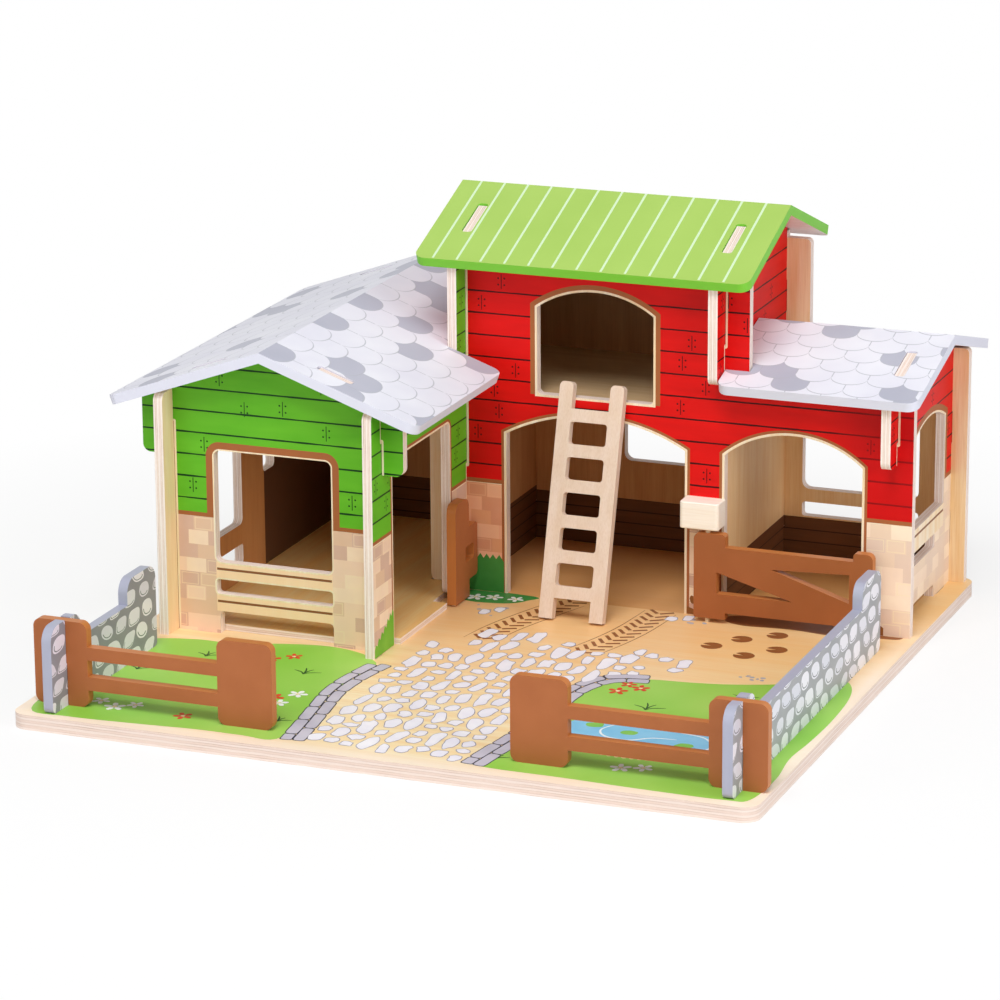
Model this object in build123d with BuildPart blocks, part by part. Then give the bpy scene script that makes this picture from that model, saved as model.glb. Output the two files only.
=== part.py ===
"""Toy barn with a cottage wing, a loft tower, a lean-to stable and a walled yard.

Flat sheets slot together on a base board. Sizes are in millimetres. Positions on the board are
measured from its front left corner, heights from its top face; the origin of the finished parts
is the middle of the board's underside.
"""
import os
from math import radians, sqrt, tan

from build123d import *

os.makedirs("parts", exist_ok=True)

# Board and sheet
BOARD_W = 450
BOARD_D = 440
BOARD_T = 9
BOARD_R = 10
SHEET = 6
FIT = 0.3                    # play on each side of a slot, a tab or a notch
TAB_DEPTH = 8                # tabs into the board
NIB = 1.5                    # easing of outer corners

# Wall positions
COTTAGE_FRONT_Y = 175.7
BARN_FRONT_Y = 309.5
REAR_Y = 428.9
LEFT_X = 18
PARTY_X = 153.2              # the wall shared by cottage and tower
TOWER_X = 321
RIGHT_X = 429.4

# Roofs: middle line, height of the ridge, angle, and reach from the ridge to the eave
COTTAGE_MID = LEFT_X + (PARTY_X + SHEET - LEFT_X) / 2
COTTAGE_CREST = 182.3
COTTAGE_ANGLE = 19.54
COTTAGE_PITCH = tan(radians(COTTAGE_ANGLE))
COTTAGE_REACH = 101
COTTAGE_Y0 = 159
COTTAGE_Y1 = 451
BARN_MID = (BARN_FRONT_Y + REAR_Y + SHEET) / 2
TOWER_CREST = 246
TOWER_ANGLE = 20.66
TOWER_PITCH = tan(radians(TOWER_ANGLE))
TOWER_REACH = 82.5
TOWER_X0 = 133
TOWER_X1 = 347.5
LEAN_CREST = 174
LEAN_ANGLE = 15.11
LEAN_PITCH = tan(radians(LEAN_ANGLE))
LEAN_REACH = 82.5
LEAN_X0 = TOWER_X + SHEET + 0.7
LEAN_X1 = 452
ROOF_R = 7

# Heights where crossing sheets are slotted half and half
COTTAGE_HALVING = 130.6
PARTY_HALVING = 81
TOWER_HALVING = 171
RIGHT_HALVING = 120.3

# Ears of the sheets past a crossing
EAR = 14.5
EAR_R = 5
COTTAGE_EAR_Z = 110
RIGHT_EAR_Z = 107.5
TOWER_EAR_Z = 149.6

# Openings in the sheets: start, end, bottom, top
COTTAGE_WINDOW = (50, 126.5, 45, 115)
COTTAGE_GAP = (50, 126.5, 25, 34.3)
COTTAGE_FEET = (52, 126.7, 0, 14.2)
LEFT_WINDOW = (205, 270, 40, 112)
LEFT_GAP = (205, 270, 15, 27)
LEFT_SLIT = (302, 319, 64.5, 112)
DOORWAY = (191.6, 282, 0, 115)
LOFT = (206.2, 281.5, 130.3, TOWER_CREST - 61, TOWER_CREST - 48.8)
CENTRE_ARCH = (185.6, 302, 0, 103.3, 118.6)
RIGHT_ARCH = (327.3, 414.1, 0, 103.3, 119.4)
STABLE_WINDOW = (346, 413.5, 55.5, 112, 120)
STABLE_GAP = (346, 395, 32.5, 41)
STABLE_FEET = (346, 395, 0, 8.4)
REAR_WINDOW = (220, 300, 57.7, 118)
BAY_WINDOW = (339, 415, 50.9, 118)
BAY_GAP = (339, 415, 33, 42.4)

# Tabs into the board: start and end along each sheet
COTTAGE_FRONT_TABS = ((33, 46), (132, 145))
LEFT_TABS = ((190, 210), (380, 400))
PARTY_TABS = ((163, 172), (350, 380))
BARN_FRONT_TABS = ((165, 180), (306, 321), (416, 428))
TOWER_TABS = ((345, 375),)
RIGHT_TABS = ((322, 338), (402, 418))
REAR_TABS = ((50, 75), (185, 210), (360, 385))
BASE_TABS_Y = ((COTTAGE_FRONT_Y, COTTAGE_FRONT_TABS), (BARN_FRONT_Y, BARN_FRONT_TABS), (REAR_Y, REAR_TABS))
BASE_TABS_X = ((LEFT_X, LEFT_TABS), (PARTY_X, PARTY_TABS), (TOWER_X, TOWER_TABS), (RIGHT_X, RIGHT_TABS))

# Tenons of the cross walls into the rear wall, and of the gables into the roof slots
LOW_TENONS = ((25, 45), (90, 110))
HIGH_TENONS = ((25, 45), (90, 110), (165, 185))
GABLE_TAB = (24, 52)         # from the ridge, along the tower and lean-to gables
COTTAGE_TAB = (30.5, 51)     # from the ridge, along the cottage gables
SLOT_PLAY = 1                # at each end of a roof slot
SLOT_R = 2

# Loft floor
LOFT_TOP = 129
LOFT_TENONS = ((340, 362), (388, 410))

# Cottage floor with its tongue through the doorway
FLOOR_T = 4
TONGUE = (193, 267)
TONGUE_X = 162.5

# Barn gate, its block and its pivots
GATE_X0 = 312.3
GATE_X1 = 425.2
GATE_Y = 297
GATE_LIFT = 3
GATE_TOP = 56.7
GATE_POST = 20
GATE_PIVOT = 8               # from the outer edge of the post
GATE_FOOT = 23
GATE_HORN = 12.3
GATE_HORN_TOP = 53.8
GATE_RAIL_TOP = 48.6
GATE_RAIL_BOTTOM = 7.2
GATE_STILE = 14.5
GATE_LOW_HOLE = (48.3, 19, 32.7)         # length, bottom, top
GATE_HIGH_HOLE = (49.4, 22, 38, 40)      # length, bottom, tip, top
BLOCK_X0 = 303
BLOCK_X1 = 328
BLOCK_Z0 = 58.7
BLOCK_Z1 = 75.7
BLOCK_Y = 296
PIN_D = 3
PIN_PLAY = 0.08
PIN_GRIP = 10                # length of pin held in a leaf
PIN_REACH = 7.5              # length of pin in the board or the block

# Door leaf at the side doorway of the cottage
LEAF_X = 160.7
LEAF_Y0 = 272
LEAF_POST = 22
LEAF_PIVOT = 3.5             # from the front edge of the leaf
LEAF_Y1 = 307.5
LEAF_LIFT = 1
LEAF_TOP = 65
LEAF_RAIL = (12, 46)
LEAF_HOLE = (24, 34)
LEAF_STILE = 6

# Ladder
LADDER_W = 41.5
LADDER_L = 145
LADDER_ANGLE = 15.73
LADDER_RUN = tan(radians(LADDER_ANGLE))
LADDER_X = 243.4
STILE = 8.75
RUNG_PITCH = 21.6
RUNG_HOLE = 13.7
RUNG_FIRST = 12.8
RUNGS = 6

# Yard
FENCE_L = 150
FENCE_H = 51
FENCE_POST = 34
FENCE_RAILS = ((10.5, 18.7), (28.8, 36.5))
FENCE_TAB = (126, 146)
STONE_H = 51.5
STONE_RUN = 36
STONE_POST = 38
STONE_INSET = 14.6           # of the stone wall from the end of its fence
STONE_R = 9
HALF_FENCE = 25.5
LEFT_FENCE = (5, 24)
LEFT_STONE = (5.5, 142)
LEFT_STONE_TABS = ((70, 90),)
RIGHT_FENCE = (299, 25)
RIGHT_STONE = (8.5, 284)
RIGHT_STONE_TABS = ((70, 90), (190, 210))
LEFT_STONE_X = LEFT_FENCE[0] + STONE_INSET
RIGHT_STONE_X = RIGHT_FENCE[0] + FENCE_L - STONE_INSET - SHEET

ON_BOARD = Plane(origin=(-BOARD_W / 2, -BOARD_D / 2, BOARD_T))


def across(y):
    """Plane of a sheet standing left to right with its front face at y."""
    return Plane(origin=(-BOARD_W / 2, y - BOARD_D / 2, BOARD_T), x_dir=(1, 0, 0), z_dir=(0, -1, 0))


def along(x):
    """Plane of a sheet standing front to back with its left face at x."""
    return Plane(origin=(x - BOARD_W / 2, -BOARD_D / 2, BOARD_T), x_dir=(0, 1, 0), z_dir=(1, 0, 0))


def patch(a0, a1, b0, b1, mode=Mode.ADD, radius=0):
    """Rectangle between two positions and two heights."""
    with Locations(((a0 + a1) / 2, (b0 + b1) / 2)):
        if radius:
            RectangleRounded(a1 - a0, b1 - b0, radius, mode=mode)
        else:
            Rectangle(a1 - a0, b1 - b0, mode=mode)


def cut(a0, a1, b0, b1, radius=0):
    patch(a0, a1, b0, b1, Mode.SUBTRACT, radius)


def outline(*points, mode=Mode.ADD):
    Polygon(*points, align=None, mode=mode)


def arch(a0, a1, sill, spring, crown):
    """Opening with upright sides and a shallow arched head."""
    with BuildLine() as rim:
        Polyline((a0, spring), (a0, sill), (a1, sill), (a1, spring))
        ThreePointArc((a1, spring), ((a0 + a1) / 2, crown), (a0, spring))
    make_face(rim.edges(), mode=Mode.SUBTRACT)


def ease(sketch, radius, *corners):
    """Round the corners of a sketch nearest to the given points."""
    picked = [min(sketch.vertices(), key=lambda v: (v.X - a) ** 2 + (v.Y - b) ** 2) for a, b in corners]
    fillet(picked, radius)


def tabs(spans):
    """Tabs below a sheet, down into the board."""
    for a0, a1 in spans:
        patch(a0, a1, -TAB_DEPTH, 1)


def tenons(spans):
    """Tenons at the rear edge of a cross wall, through the rear wall."""
    for b0, b1 in spans:
        patch(REAR_Y - 1, REAR_Y + SHEET, b0, b1)


def mortises(x, spans):
    for b0, b1 in spans:
        cut(x - FIT, x + SHEET + FIT, b0 - FIT, b1 + FIT)


def soffit(mid, crest, pitch, a):
    """Height of the underside of a roof sheet at position a."""
    return crest - SHEET * sqrt(1 + pitch ** 2) - pitch * abs(a - mid)


def roof_tab(mid, crest, pitch, span, side):
    """Gable tab that fills a roof slot up to just below the roof's face."""
    near = mid + side * span[0]
    far = mid + side * span[1]
    low = soffit(mid, crest, pitch, far) - 2
    rise = SHEET - 0.5
    outline((near, low), (far, low), (far, soffit(mid, crest, pitch, far) + rise),
            (near, soffit(mid, crest, pitch, near) + rise))


def roof_slot(a0, a1, start, upright):
    """Slot with eased ends for a gable tab of one sheet thickness that starts at start."""
    length = (a0 - SLOT_PLAY, a1 + SLOT_PLAY)
    width = (start - FIT, start + SHEET + FIT)
    if upright:
        patch(*width, *length, radius=SLOT_R)
    else:
        patch(*length, *width, radius=SLOT_R)


def roof_section(mid, crest, pitch, reach, side):
    """Section of a roof sheet: plumb at the ridge, square at the eave."""
    k = sqrt(1 + pitch ** 2)
    eave = (mid + side * reach, crest - pitch * reach)
    lower = (eave[0] - side * pitch * SHEET / k, eave[1] - SHEET / k)
    outline((mid, crest), eave, lower, (mid, crest - SHEET * k))


def cottage_under(x):
    return soffit(COTTAGE_MID, COTTAGE_CREST, COTTAGE_PITCH, x)


def tower_under(y):
    return soffit(BARN_MID, TOWER_CREST, TOWER_PITCH, y)


def lean_under(y):
    return soffit(BARN_MID, LEAN_CREST, LEAN_PITCH, y)


WALL_L = LEFT_X - EAR
COTTAGE_EAR_X = PARTY_X + SHEET + EAR - 0.5
COTTAGE_SIDE_TOP = cottage_under(LEFT_X)
TOWER_TOP = tower_under(BARN_FRONT_Y)
LEAN_TOP = lean_under(BARN_FRONT_Y)
BARN_EAR_Y = BARN_FRONT_Y - EAR
TOWER_EAR_X = TOWER_X + SHEET + EAR + 1
RIGHT_EAR_X = RIGHT_X + SHEET + EAR - 4.5
BARN_EAR_X = 134.7
TOWER_EAR_LOW = 156

# ---------------------------------------------------------------- base board
with BuildPart() as base_board:
    with BuildSketch(Plane.XY):
        RectangleRounded(BOARD_W, BOARD_D, BOARD_R)
    extrude(amount=BOARD_T)
    with BuildSketch(ON_BOARD):
        for y, spans in BASE_TABS_Y:
            for a0, a1 in spans:
                patch(a0 - FIT, a1 + FIT, y - FIT, y + SHEET + FIT)
        for x, spans in BASE_TABS_X:
            for a0, a1 in spans:
                patch(x - FIT, x + SHEET + FIT, a0 - FIT, a1 + FIT)
        for x, spans in ((LEFT_STONE_X, LEFT_STONE_TABS), (RIGHT_STONE_X, RIGHT_STONE_TABS)):
            for a0, a1 in spans:
                patch(x - FIT, x + SHEET + FIT, a0 - FIT, a1 + FIT)
        for x, y, side in ((LEFT_FENCE[0], LEFT_FENCE[1], 1), (RIGHT_FENCE[0] + FENCE_L, RIGHT_FENCE[1], -1)):
            ends = sorted((x + side * FENCE_TAB[0], x + side * FENCE_TAB[1]))
            patch(ends[0] - FIT, ends[1] + FIT, y - FIT, y + SHEET + FIT)
    extrude(amount=-BOARD_T, mode=Mode.SUBTRACT)
    pivots = ((GATE_X0 + GATE_PIVOT, GATE_Y + SHEET / 2), (LEAF_X + SHEET / 2, LEAF_Y0 + LEAF_PIVOT))
    with BuildSketch(ON_BOARD):
        with Locations(*pivots):
            Circle(PIN_D / 2 + PIN_PLAY)
    extrude(amount=-TAB_DEPTH, mode=Mode.SUBTRACT)

# ---------------------------------------------------------------- cottage
with BuildPart() as cottage_floor:
    with BuildSketch(ON_BOARD):
        patch(LEFT_X + SHEET + FIT, PARTY_X - FIT, COTTAGE_FRONT_Y + SHEET + FIT, REAR_Y - FIT)
        patch(PARTY_X - 1, TONGUE_X, *TONGUE)
        cut(BARN_EAR_X - FIT, PARTY_X, BARN_FRONT_Y - FIT, BARN_FRONT_Y + SHEET + FIT)
    extrude(amount=FLOOR_T)

with BuildPart() as cottage_front_wall:
    with BuildSketch(across(COTTAGE_FRONT_Y)) as face:
        inner = (LEFT_X + SHEET + FIT, PARTY_X - FIT)
        outline((inner[0], 0), (inner[1], 0), (inner[1], COTTAGE_EAR_Z), (COTTAGE_EAR_X, COTTAGE_EAR_Z),
                (COTTAGE_EAR_X, cottage_under(COTTAGE_EAR_X)), (COTTAGE_MID, cottage_under(COTTAGE_MID)),
                (WALL_L, cottage_under(WALL_L)), (WALL_L, COTTAGE_EAR_Z), (inner[0], COTTAGE_EAR_Z))
        ease(face, EAR_R, (WALL_L, COTTAGE_EAR_Z), (COTTAGE_EAR_X, COTTAGE_EAR_Z))
        for x in (LEFT_X, PARTY_X):
            cut(x - FIT, x + SHEET + FIT, 0, COTTAGE_HALVING)
        cut(*COTTAGE_WINDOW, radius=4)
        cut(*COTTAGE_GAP, radius=2)
        cut(*COTTAGE_FEET)
        ease(face, 3, (COTTAGE_FEET[0], COTTAGE_FEET[3]), (COTTAGE_FEET[1], COTTAGE_FEET[3]))
        tabs(COTTAGE_FRONT_TABS)
        for side in (-1, 1):
            roof_tab(COTTAGE_MID, COTTAGE_CREST, COTTAGE_PITCH, COTTAGE_TAB, side)
    extrude(amount=-SHEET)

with BuildPart() as cottage_left_wall:
    with BuildSketch(along(LEFT_X)) as face:
        patch(COTTAGE_FRONT_Y - EAR, REAR_Y, 0, COTTAGE_SIDE_TOP)
        ease(face, EAR_R, (COTTAGE_FRONT_Y - EAR, COTTAGE_SIDE_TOP))
        cut(COTTAGE_FRONT_Y - FIT, COTTAGE_FRONT_Y + SHEET + FIT, COTTAGE_HALVING, COTTAGE_SIDE_TOP)
        cut(*LEFT_WINDOW, radius=4)
        cut(*LEFT_GAP, radius=2)
        cut(*LEFT_SLIT, radius=3)
        tabs(LEFT_TABS)
        tenons(LOW_TENONS)
    extrude(amount=SHEET)

with BuildPart() as cottage_right_wall:
    with BuildSketch(along(PARTY_X)) as face:
        side_top = cottage_under(PARTY_X + SHEET)
        outline((COTTAGE_FRONT_Y - EAR, 0), (REAR_Y, 0), (REAR_Y, tower_under(REAR_Y)),
                (BARN_MID, tower_under(BARN_MID)), (BARN_EAR_Y, tower_under(BARN_EAR_Y)),
                (BARN_EAR_Y, side_top), (COTTAGE_FRONT_Y - EAR, side_top))
        ease(face, EAR_R, (COTTAGE_FRONT_Y - EAR, side_top))
        cut(COTTAGE_FRONT_Y - FIT, COTTAGE_FRONT_Y + SHEET + FIT, COTTAGE_HALVING, side_top)
        cut(BARN_FRONT_Y - FIT, BARN_FRONT_Y + SHEET + FIT, 0, PARTY_HALVING)
        cut(*DOORWAY)
        ease(face, 4, (DOORWAY[0], DOORWAY[3]), (DOORWAY[1], DOORWAY[3]))
        cut(DOORWAY[1] - 1, BARN_FRONT_Y + 1, 0, 4)
        ease(face, EAR_R, (DOORWAY[1], 4), (BARN_FRONT_Y - FIT, 4))
        tabs(PARTY_TABS)
        tenons(HIGH_TENONS)
        for b0, b1 in LOFT_TENONS:
            cut(b0 - FIT, b1 + FIT, LOFT_TOP - SHEET - FIT, LOFT_TOP + FIT)
        for side in (-1, 1):
            roof_tab(BARN_MID, TOWER_CREST, TOWER_PITCH, GABLE_TAB, side)
    extrude(amount=SHEET)

with BuildPart() as cottage_roof_left:
    with BuildSketch(across(COTTAGE_Y0)):
        roof_section(COTTAGE_MID, COTTAGE_CREST, COTTAGE_PITCH, COTTAGE_REACH, -1)
    extrude(amount=COTTAGE_Y0 - COTTAGE_Y1)
    fillet(edges().filter_by(Axis((0, 0, 0), (-COTTAGE_PITCH, 0, 1))), ROOF_R)
    with BuildSketch(ON_BOARD):
        for y in (COTTAGE_FRONT_Y, REAR_Y):
            roof_slot(COTTAGE_MID - COTTAGE_TAB[1], COTTAGE_MID - COTTAGE_TAB[0], y, False)
    extrude(amount=TOWER_CREST, mode=Mode.SUBTRACT)

with BuildPart() as cottage_roof_right:
    with BuildSketch(across(COTTAGE_Y0)):
        roof_section(COTTAGE_MID, COTTAGE_CREST, COTTAGE_PITCH, COTTAGE_REACH, 1)
    extrude(amount=COTTAGE_Y0 - COTTAGE_Y1)
    with BuildSketch(ON_BOARD):
        patch(PARTY_X - FIT, BOARD_W, BARN_EAR_Y - FIT, COTTAGE_Y1 + 1)
    extrude(amount=TOWER_CREST, mode=Mode.SUBTRACT)
    fillet(edges().filter_by(Axis((0, 0, 0), (COTTAGE_PITCH, 0, 1))), ROOF_R)
    with BuildSketch(ON_BOARD):
        for y in (COTTAGE_FRONT_Y, REAR_Y):
            roof_slot(COTTAGE_MID + COTTAGE_TAB[0], COTTAGE_MID + COTTAGE_TAB[1], y, False)
    extrude(amount=TOWER_CREST, mode=Mode.SUBTRACT)

# ---------------------------------------------------------------- barn walls
with BuildPart() as barn_front_wall:
    with BuildSketch(across(BARN_FRONT_Y)) as face:
        patch(PARTY_X + SHEET, TOWER_X + SHEET, 0, TOWER_TOP)
        patch(TOWER_X + SHEET, RIGHT_EAR_X, 0, LEAN_TOP)
        patch(TOWER_X, TOWER_EAR_X, TOWER_EAR_LOW, TOWER_TOP - 4)
        patch(BARN_EAR_X, PARTY_X + SHEET, 3, cottage_under(PARTY_X))
        ease(face, EAR_R, (BARN_EAR_X, 3))
        ease(face, 3, (TOWER_EAR_X, TOWER_TOP - 4), (RIGHT_EAR_X, LEAN_TOP))
        cut(PARTY_X - FIT, PARTY_X + SHEET + FIT, PARTY_HALVING, TOWER_TOP)
        cut(PARTY_X - 1, PARTY_X + SHEET + FIT, 0, 3)
        cut(TOWER_X - FIT, TOWER_X + SHEET + FIT, TOWER_HALVING, TOWER_TOP)
        cut(RIGHT_X - FIT, RIGHT_X + SHEET + FIT, RIGHT_HALVING, LEAN_TOP)
        arch(*LOFT)
        ease(face, 3, (LOFT[0], LOFT[2]), (LOFT[1], LOFT[2]))
        arch(*CENTRE_ARCH)
        arch(*RIGHT_ARCH)
        tabs(BARN_FRONT_TABS)
    extrude(amount=-SHEET)

with BuildPart() as tower_right_wall:
    with BuildSketch(along(TOWER_X)) as face:
        behind = BARN_FRONT_Y + SHEET + FIT
        outline((behind, 0), (REAR_Y, 0), (REAR_Y, tower_under(REAR_Y)), (BARN_MID, tower_under(BARN_MID)),
                (BARN_EAR_Y, tower_under(BARN_EAR_Y)), (BARN_EAR_Y, TOWER_EAR_Z), (behind, TOWER_EAR_Z))
        ease(face, EAR_R, (BARN_EAR_Y, TOWER_EAR_Z))
        cut(BARN_FRONT_Y - FIT, BARN_FRONT_Y + SHEET + FIT, 0, TOWER_HALVING)
        tabs(TOWER_TABS)
        tenons(HIGH_TENONS)
        for b0, b1 in LOFT_TENONS:
            cut(b0 - FIT, b1 + FIT, LOFT_TOP - SHEET - FIT, LOFT_TOP + FIT)
        for side in (-1, 1):
            roof_tab(BARN_MID, TOWER_CREST, TOWER_PITCH, GABLE_TAB, side)
    extrude(amount=SHEET)

with BuildPart() as right_side_wall:
    with BuildSketch(along(RIGHT_X)) as face:
        outline((behind, 0), (REAR_Y, 0), (REAR_Y, lean_under(REAR_Y)), (BARN_MID, lean_under(BARN_MID)),
                (BARN_EAR_Y, lean_under(BARN_EAR_Y)), (BARN_EAR_Y, RIGHT_EAR_Z), (behind, RIGHT_EAR_Z))
        ease(face, EAR_R, (BARN_EAR_Y, RIGHT_EAR_Z))
        cut(BARN_FRONT_Y - FIT, BARN_FRONT_Y + SHEET + FIT, 0, RIGHT_HALVING)
        arch(*STABLE_WINDOW)
        cut(*STABLE_GAP, radius=2)
        cut(*STABLE_FEET)
        ease(face, 4, (STABLE_FEET[0], STABLE_FEET[3]), (STABLE_FEET[1], STABLE_FEET[3]))
        tabs(RIGHT_TABS)
        tenons(LOW_TENONS)
        for side in (-1, 1):
            roof_tab(BARN_MID, LEAN_CREST, LEAN_PITCH, GABLE_TAB, side)
    extrude(amount=SHEET)

with BuildPart() as rear_wall:
    with BuildSketch(across(REAR_Y)) as face:
        back_tower = tower_under(REAR_Y + SHEET)
        back_lean = lean_under(REAR_Y + SHEET)
        outline((LEFT_X, 0), (RIGHT_EAR_X, 0), (RIGHT_EAR_X, back_lean), (TOWER_EAR_X, back_lean), (TOWER_EAR_X, back_tower - 4),
                (TOWER_X + SHEET, back_tower - 4), (TOWER_X + SHEET, back_tower), (PARTY_X, back_tower),
                (PARTY_X, cottage_under(PARTY_X)), (COTTAGE_MID, cottage_under(COTTAGE_MID)),
                (WALL_L, cottage_under(WALL_L)), (WALL_L, COTTAGE_EAR_Z), (LEFT_X, COTTAGE_EAR_Z))
        ease(face, EAR_R, (WALL_L, COTTAGE_EAR_Z))
        ease(face, 3, (TOWER_EAR_X, back_tower - 4), (RIGHT_EAR_X, back_lean))
        cut(*REAR_WINDOW, radius=5)
        cut(*BAY_WINDOW, radius=5)
        cut(*BAY_GAP, radius=2)
        mortises(LEFT_X, LOW_TENONS)
        mortises(PARTY_X, HIGH_TENONS)
        mortises(TOWER_X, HIGH_TENONS)
        mortises(RIGHT_X, LOW_TENONS)
        tabs(REAR_TABS)
        for side in (-1, 1):
            roof_tab(COTTAGE_MID, COTTAGE_CREST, COTTAGE_PITCH, COTTAGE_TAB, side)
    extrude(amount=-SHEET)

with BuildPart() as loft_floor:
    with BuildSketch(ON_BOARD.offset(LOFT_TOP - SHEET)):
        patch(PARTY_X + SHEET, TOWER_X, BARN_FRONT_Y + SHEET, REAR_Y)
        for b0, b1 in LOFT_TENONS:
            patch(PARTY_X, TOWER_X + SHEET, b0, b1)
    extrude(amount=SHEET)

# ---------------------------------------------------------------- tower and lean-to roofs
with BuildPart() as tower_roof_front:
    with BuildSketch(along(TOWER_X0)):
        roof_section(BARN_MID, TOWER_CREST, TOWER_PITCH, TOWER_REACH, -1)
    extrude(amount=TOWER_X1 - TOWER_X0)
    fillet(edges().filter_by(Axis((0, 0, 0), (0, -TOWER_PITCH, 1))), ROOF_R)
    with BuildSketch(ON_BOARD):
        for x in (PARTY_X, TOWER_X):
            roof_slot(BARN_MID - GABLE_TAB[1], BARN_MID - GABLE_TAB[0], x, True)
    extrude(amount=TOWER_CREST, mode=Mode.SUBTRACT)

with BuildPart() as tower_roof_rear:
    with BuildSketch(along(TOWER_X0)):
        roof_section(BARN_MID, TOWER_CREST, TOWER_PITCH, TOWER_REACH, 1)
    extrude(amount=TOWER_X1 - TOWER_X0)
    fillet(edges().filter_by(Axis((0, 0, 0), (0, TOWER_PITCH, 1))), ROOF_R)
    with BuildSketch(ON_BOARD):
        for x in (PARTY_X, TOWER_X):
            roof_slot(BARN_MID + GABLE_TAB[0], BARN_MID + GABLE_TAB[1], x, True)
    extrude(amount=TOWER_CREST, mode=Mode.SUBTRACT)

with BuildPart() as lean_to_roof_front:
    with BuildSketch(along(LEAN_X0)):
        roof_section(BARN_MID, LEAN_CREST, LEAN_PITCH, LEAN_REACH, -1)
    extrude(amount=LEAN_X1 - LEAN_X0)
    fillet(edges().filter_by(Axis((0, 0, 0), (0, -LEAN_PITCH, 1))), ROOF_R)
    with BuildSketch(ON_BOARD):
        roof_slot(BARN_MID - GABLE_TAB[1], BARN_MID - GABLE_TAB[0], RIGHT_X, True)
        patch(LEAN_X0 - 1, TOWER_EAR_X + 0.5, BARN_FRONT_Y - 0.5, BARN_FRONT_Y + SHEET + 0.5)
    extrude(amount=TOWER_CREST, mode=Mode.SUBTRACT)

with BuildPart() as lean_to_roof_rear:
    with BuildSketch(along(LEAN_X0)):
        roof_section(BARN_MID, LEAN_CREST, LEAN_PITCH, LEAN_REACH, 1)
    extrude(amount=LEAN_X1 - LEAN_X0)
    fillet(edges().filter_by(Axis((0, 0, 0), (0, LEAN_PITCH, 1))), ROOF_R)
    with BuildSketch(ON_BOARD):
        roof_slot(BARN_MID + GABLE_TAB[0], BARN_MID + GABLE_TAB[1], RIGHT_X, True)
        patch(LEAN_X0 - 1, TOWER_EAR_X + 0.5, REAR_Y - 0.5, REAR_Y + SHEET + 0.5)
    extrude(amount=TOWER_CREST, mode=Mode.SUBTRACT)

# ---------------------------------------------------------------- gate and door leaf
with BuildPart() as barn_gate:
    with BuildSketch(across(GATE_Y)) as face:
        patch(GATE_X0, GATE_X1, GATE_RAIL_BOTTOM, GATE_RAIL_TOP)
        patch(GATE_X0, GATE_X0 + GATE_POST, GATE_LIFT, GATE_TOP)
        patch(GATE_X1 - GATE_HORN, GATE_X1, GATE_RAIL_TOP - 1, GATE_HORN_TOP)
        patch(GATE_X1 - GATE_FOOT, GATE_X1, GATE_LIFT, GATE_RAIL_BOTTOM + 1)
        ease(face, 4, (GATE_X0, GATE_TOP), (GATE_X1, GATE_HORN_TOP))
        ease(face, 2, (GATE_X0 + GATE_POST, GATE_TOP), (GATE_X1 - GATE_HORN, GATE_HORN_TOP))
        ease(face, NIB, (GATE_X0, GATE_LIFT), (GATE_X1, GATE_LIFT))
        left = GATE_X0 + GATE_STILE
        right = GATE_X1 - GATE_STILE
        length, bottom, top = GATE_LOW_HOLE
        outline((left, top), (left, bottom), (left + length, bottom), mode=Mode.SUBTRACT)
        length, bottom, tip, top = GATE_HIGH_HOLE
        outline((right - length, tip), (right, top), (right, bottom), mode=Mode.SUBTRACT)
    extrude(amount=-SHEET)
    with BuildSketch(ON_BOARD.offset(GATE_LIFT)):
        with Locations(pivots[0]):
            Circle(PIN_D / 2)
    extrude(amount=PIN_GRIP, mode=Mode.SUBTRACT)
    with BuildSketch(ON_BOARD.offset(GATE_TOP)):
        with Locations(pivots[0]):
            Circle(PIN_D / 2)
    extrude(amount=-PIN_GRIP, mode=Mode.SUBTRACT)

with BuildPart() as barn_gate_pins:
    for low, high in ((-PIN_REACH, GATE_LIFT + PIN_GRIP), (GATE_TOP - PIN_GRIP, BLOCK_Z0 + PIN_REACH)):
        with BuildSketch(ON_BOARD.offset(low)):
            with Locations(pivots[0]):
                Circle(PIN_D / 2)
        extrude(amount=high - low)

with BuildPart() as gate_block:
    with BuildSketch(across(BLOCK_Y)):
        patch(BLOCK_X0, BLOCK_X1, BLOCK_Z0, BLOCK_Z1)
    extrude(amount=BLOCK_Y - BARN_FRONT_Y)
    fillet(edges().filter_by(Axis.Z).group_by(Axis.Y)[0], 2.5)
    fillet(edges().group_by(Axis.Y)[0], 1)
    with BuildSketch(ON_BOARD.offset(BLOCK_Z0)):
        with Locations(pivots[0]):
            Circle(PIN_D / 2 + PIN_PLAY)
    extrude(amount=TAB_DEPTH, mode=Mode.SUBTRACT)

with BuildPart() as cottage_door:
    with BuildSketch(along(LEAF_X)) as face:
        patch(LEAF_Y0, LEAF_Y0 + LEAF_POST, LEAF_LIFT, LEAF_TOP)
        patch(LEAF_Y0, LEAF_Y1, *LEAF_RAIL)
        ease(face, 6, (LEAF_Y0, LEAF_TOP), (LEAF_Y0 + LEAF_POST, LEAF_TOP))
        ease(face, 3, (LEAF_Y1, LEAF_RAIL[0]), (LEAF_Y1, LEAF_RAIL[1]))
        cut(LEAF_Y0 + LEAF_POST - LEAF_STILE, LEAF_Y1 - LEAF_STILE, *LEAF_HOLE, radius=2)
    extrude(amount=SHEET)
    with BuildSketch(ON_BOARD.offset(LEAF_LIFT)):
        with Locations(pivots[1]):
            Circle(PIN_D / 2)
    extrude(amount=PIN_GRIP, mode=Mode.SUBTRACT)

with BuildPart() as cottage_door_pin:
    with BuildSketch(ON_BOARD.offset(-PIN_REACH)):
        with Locations(pivots[1]):
            Circle(PIN_D / 2)
    extrude(amount=PIN_REACH + LEAF_LIFT + PIN_GRIP)

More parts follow.
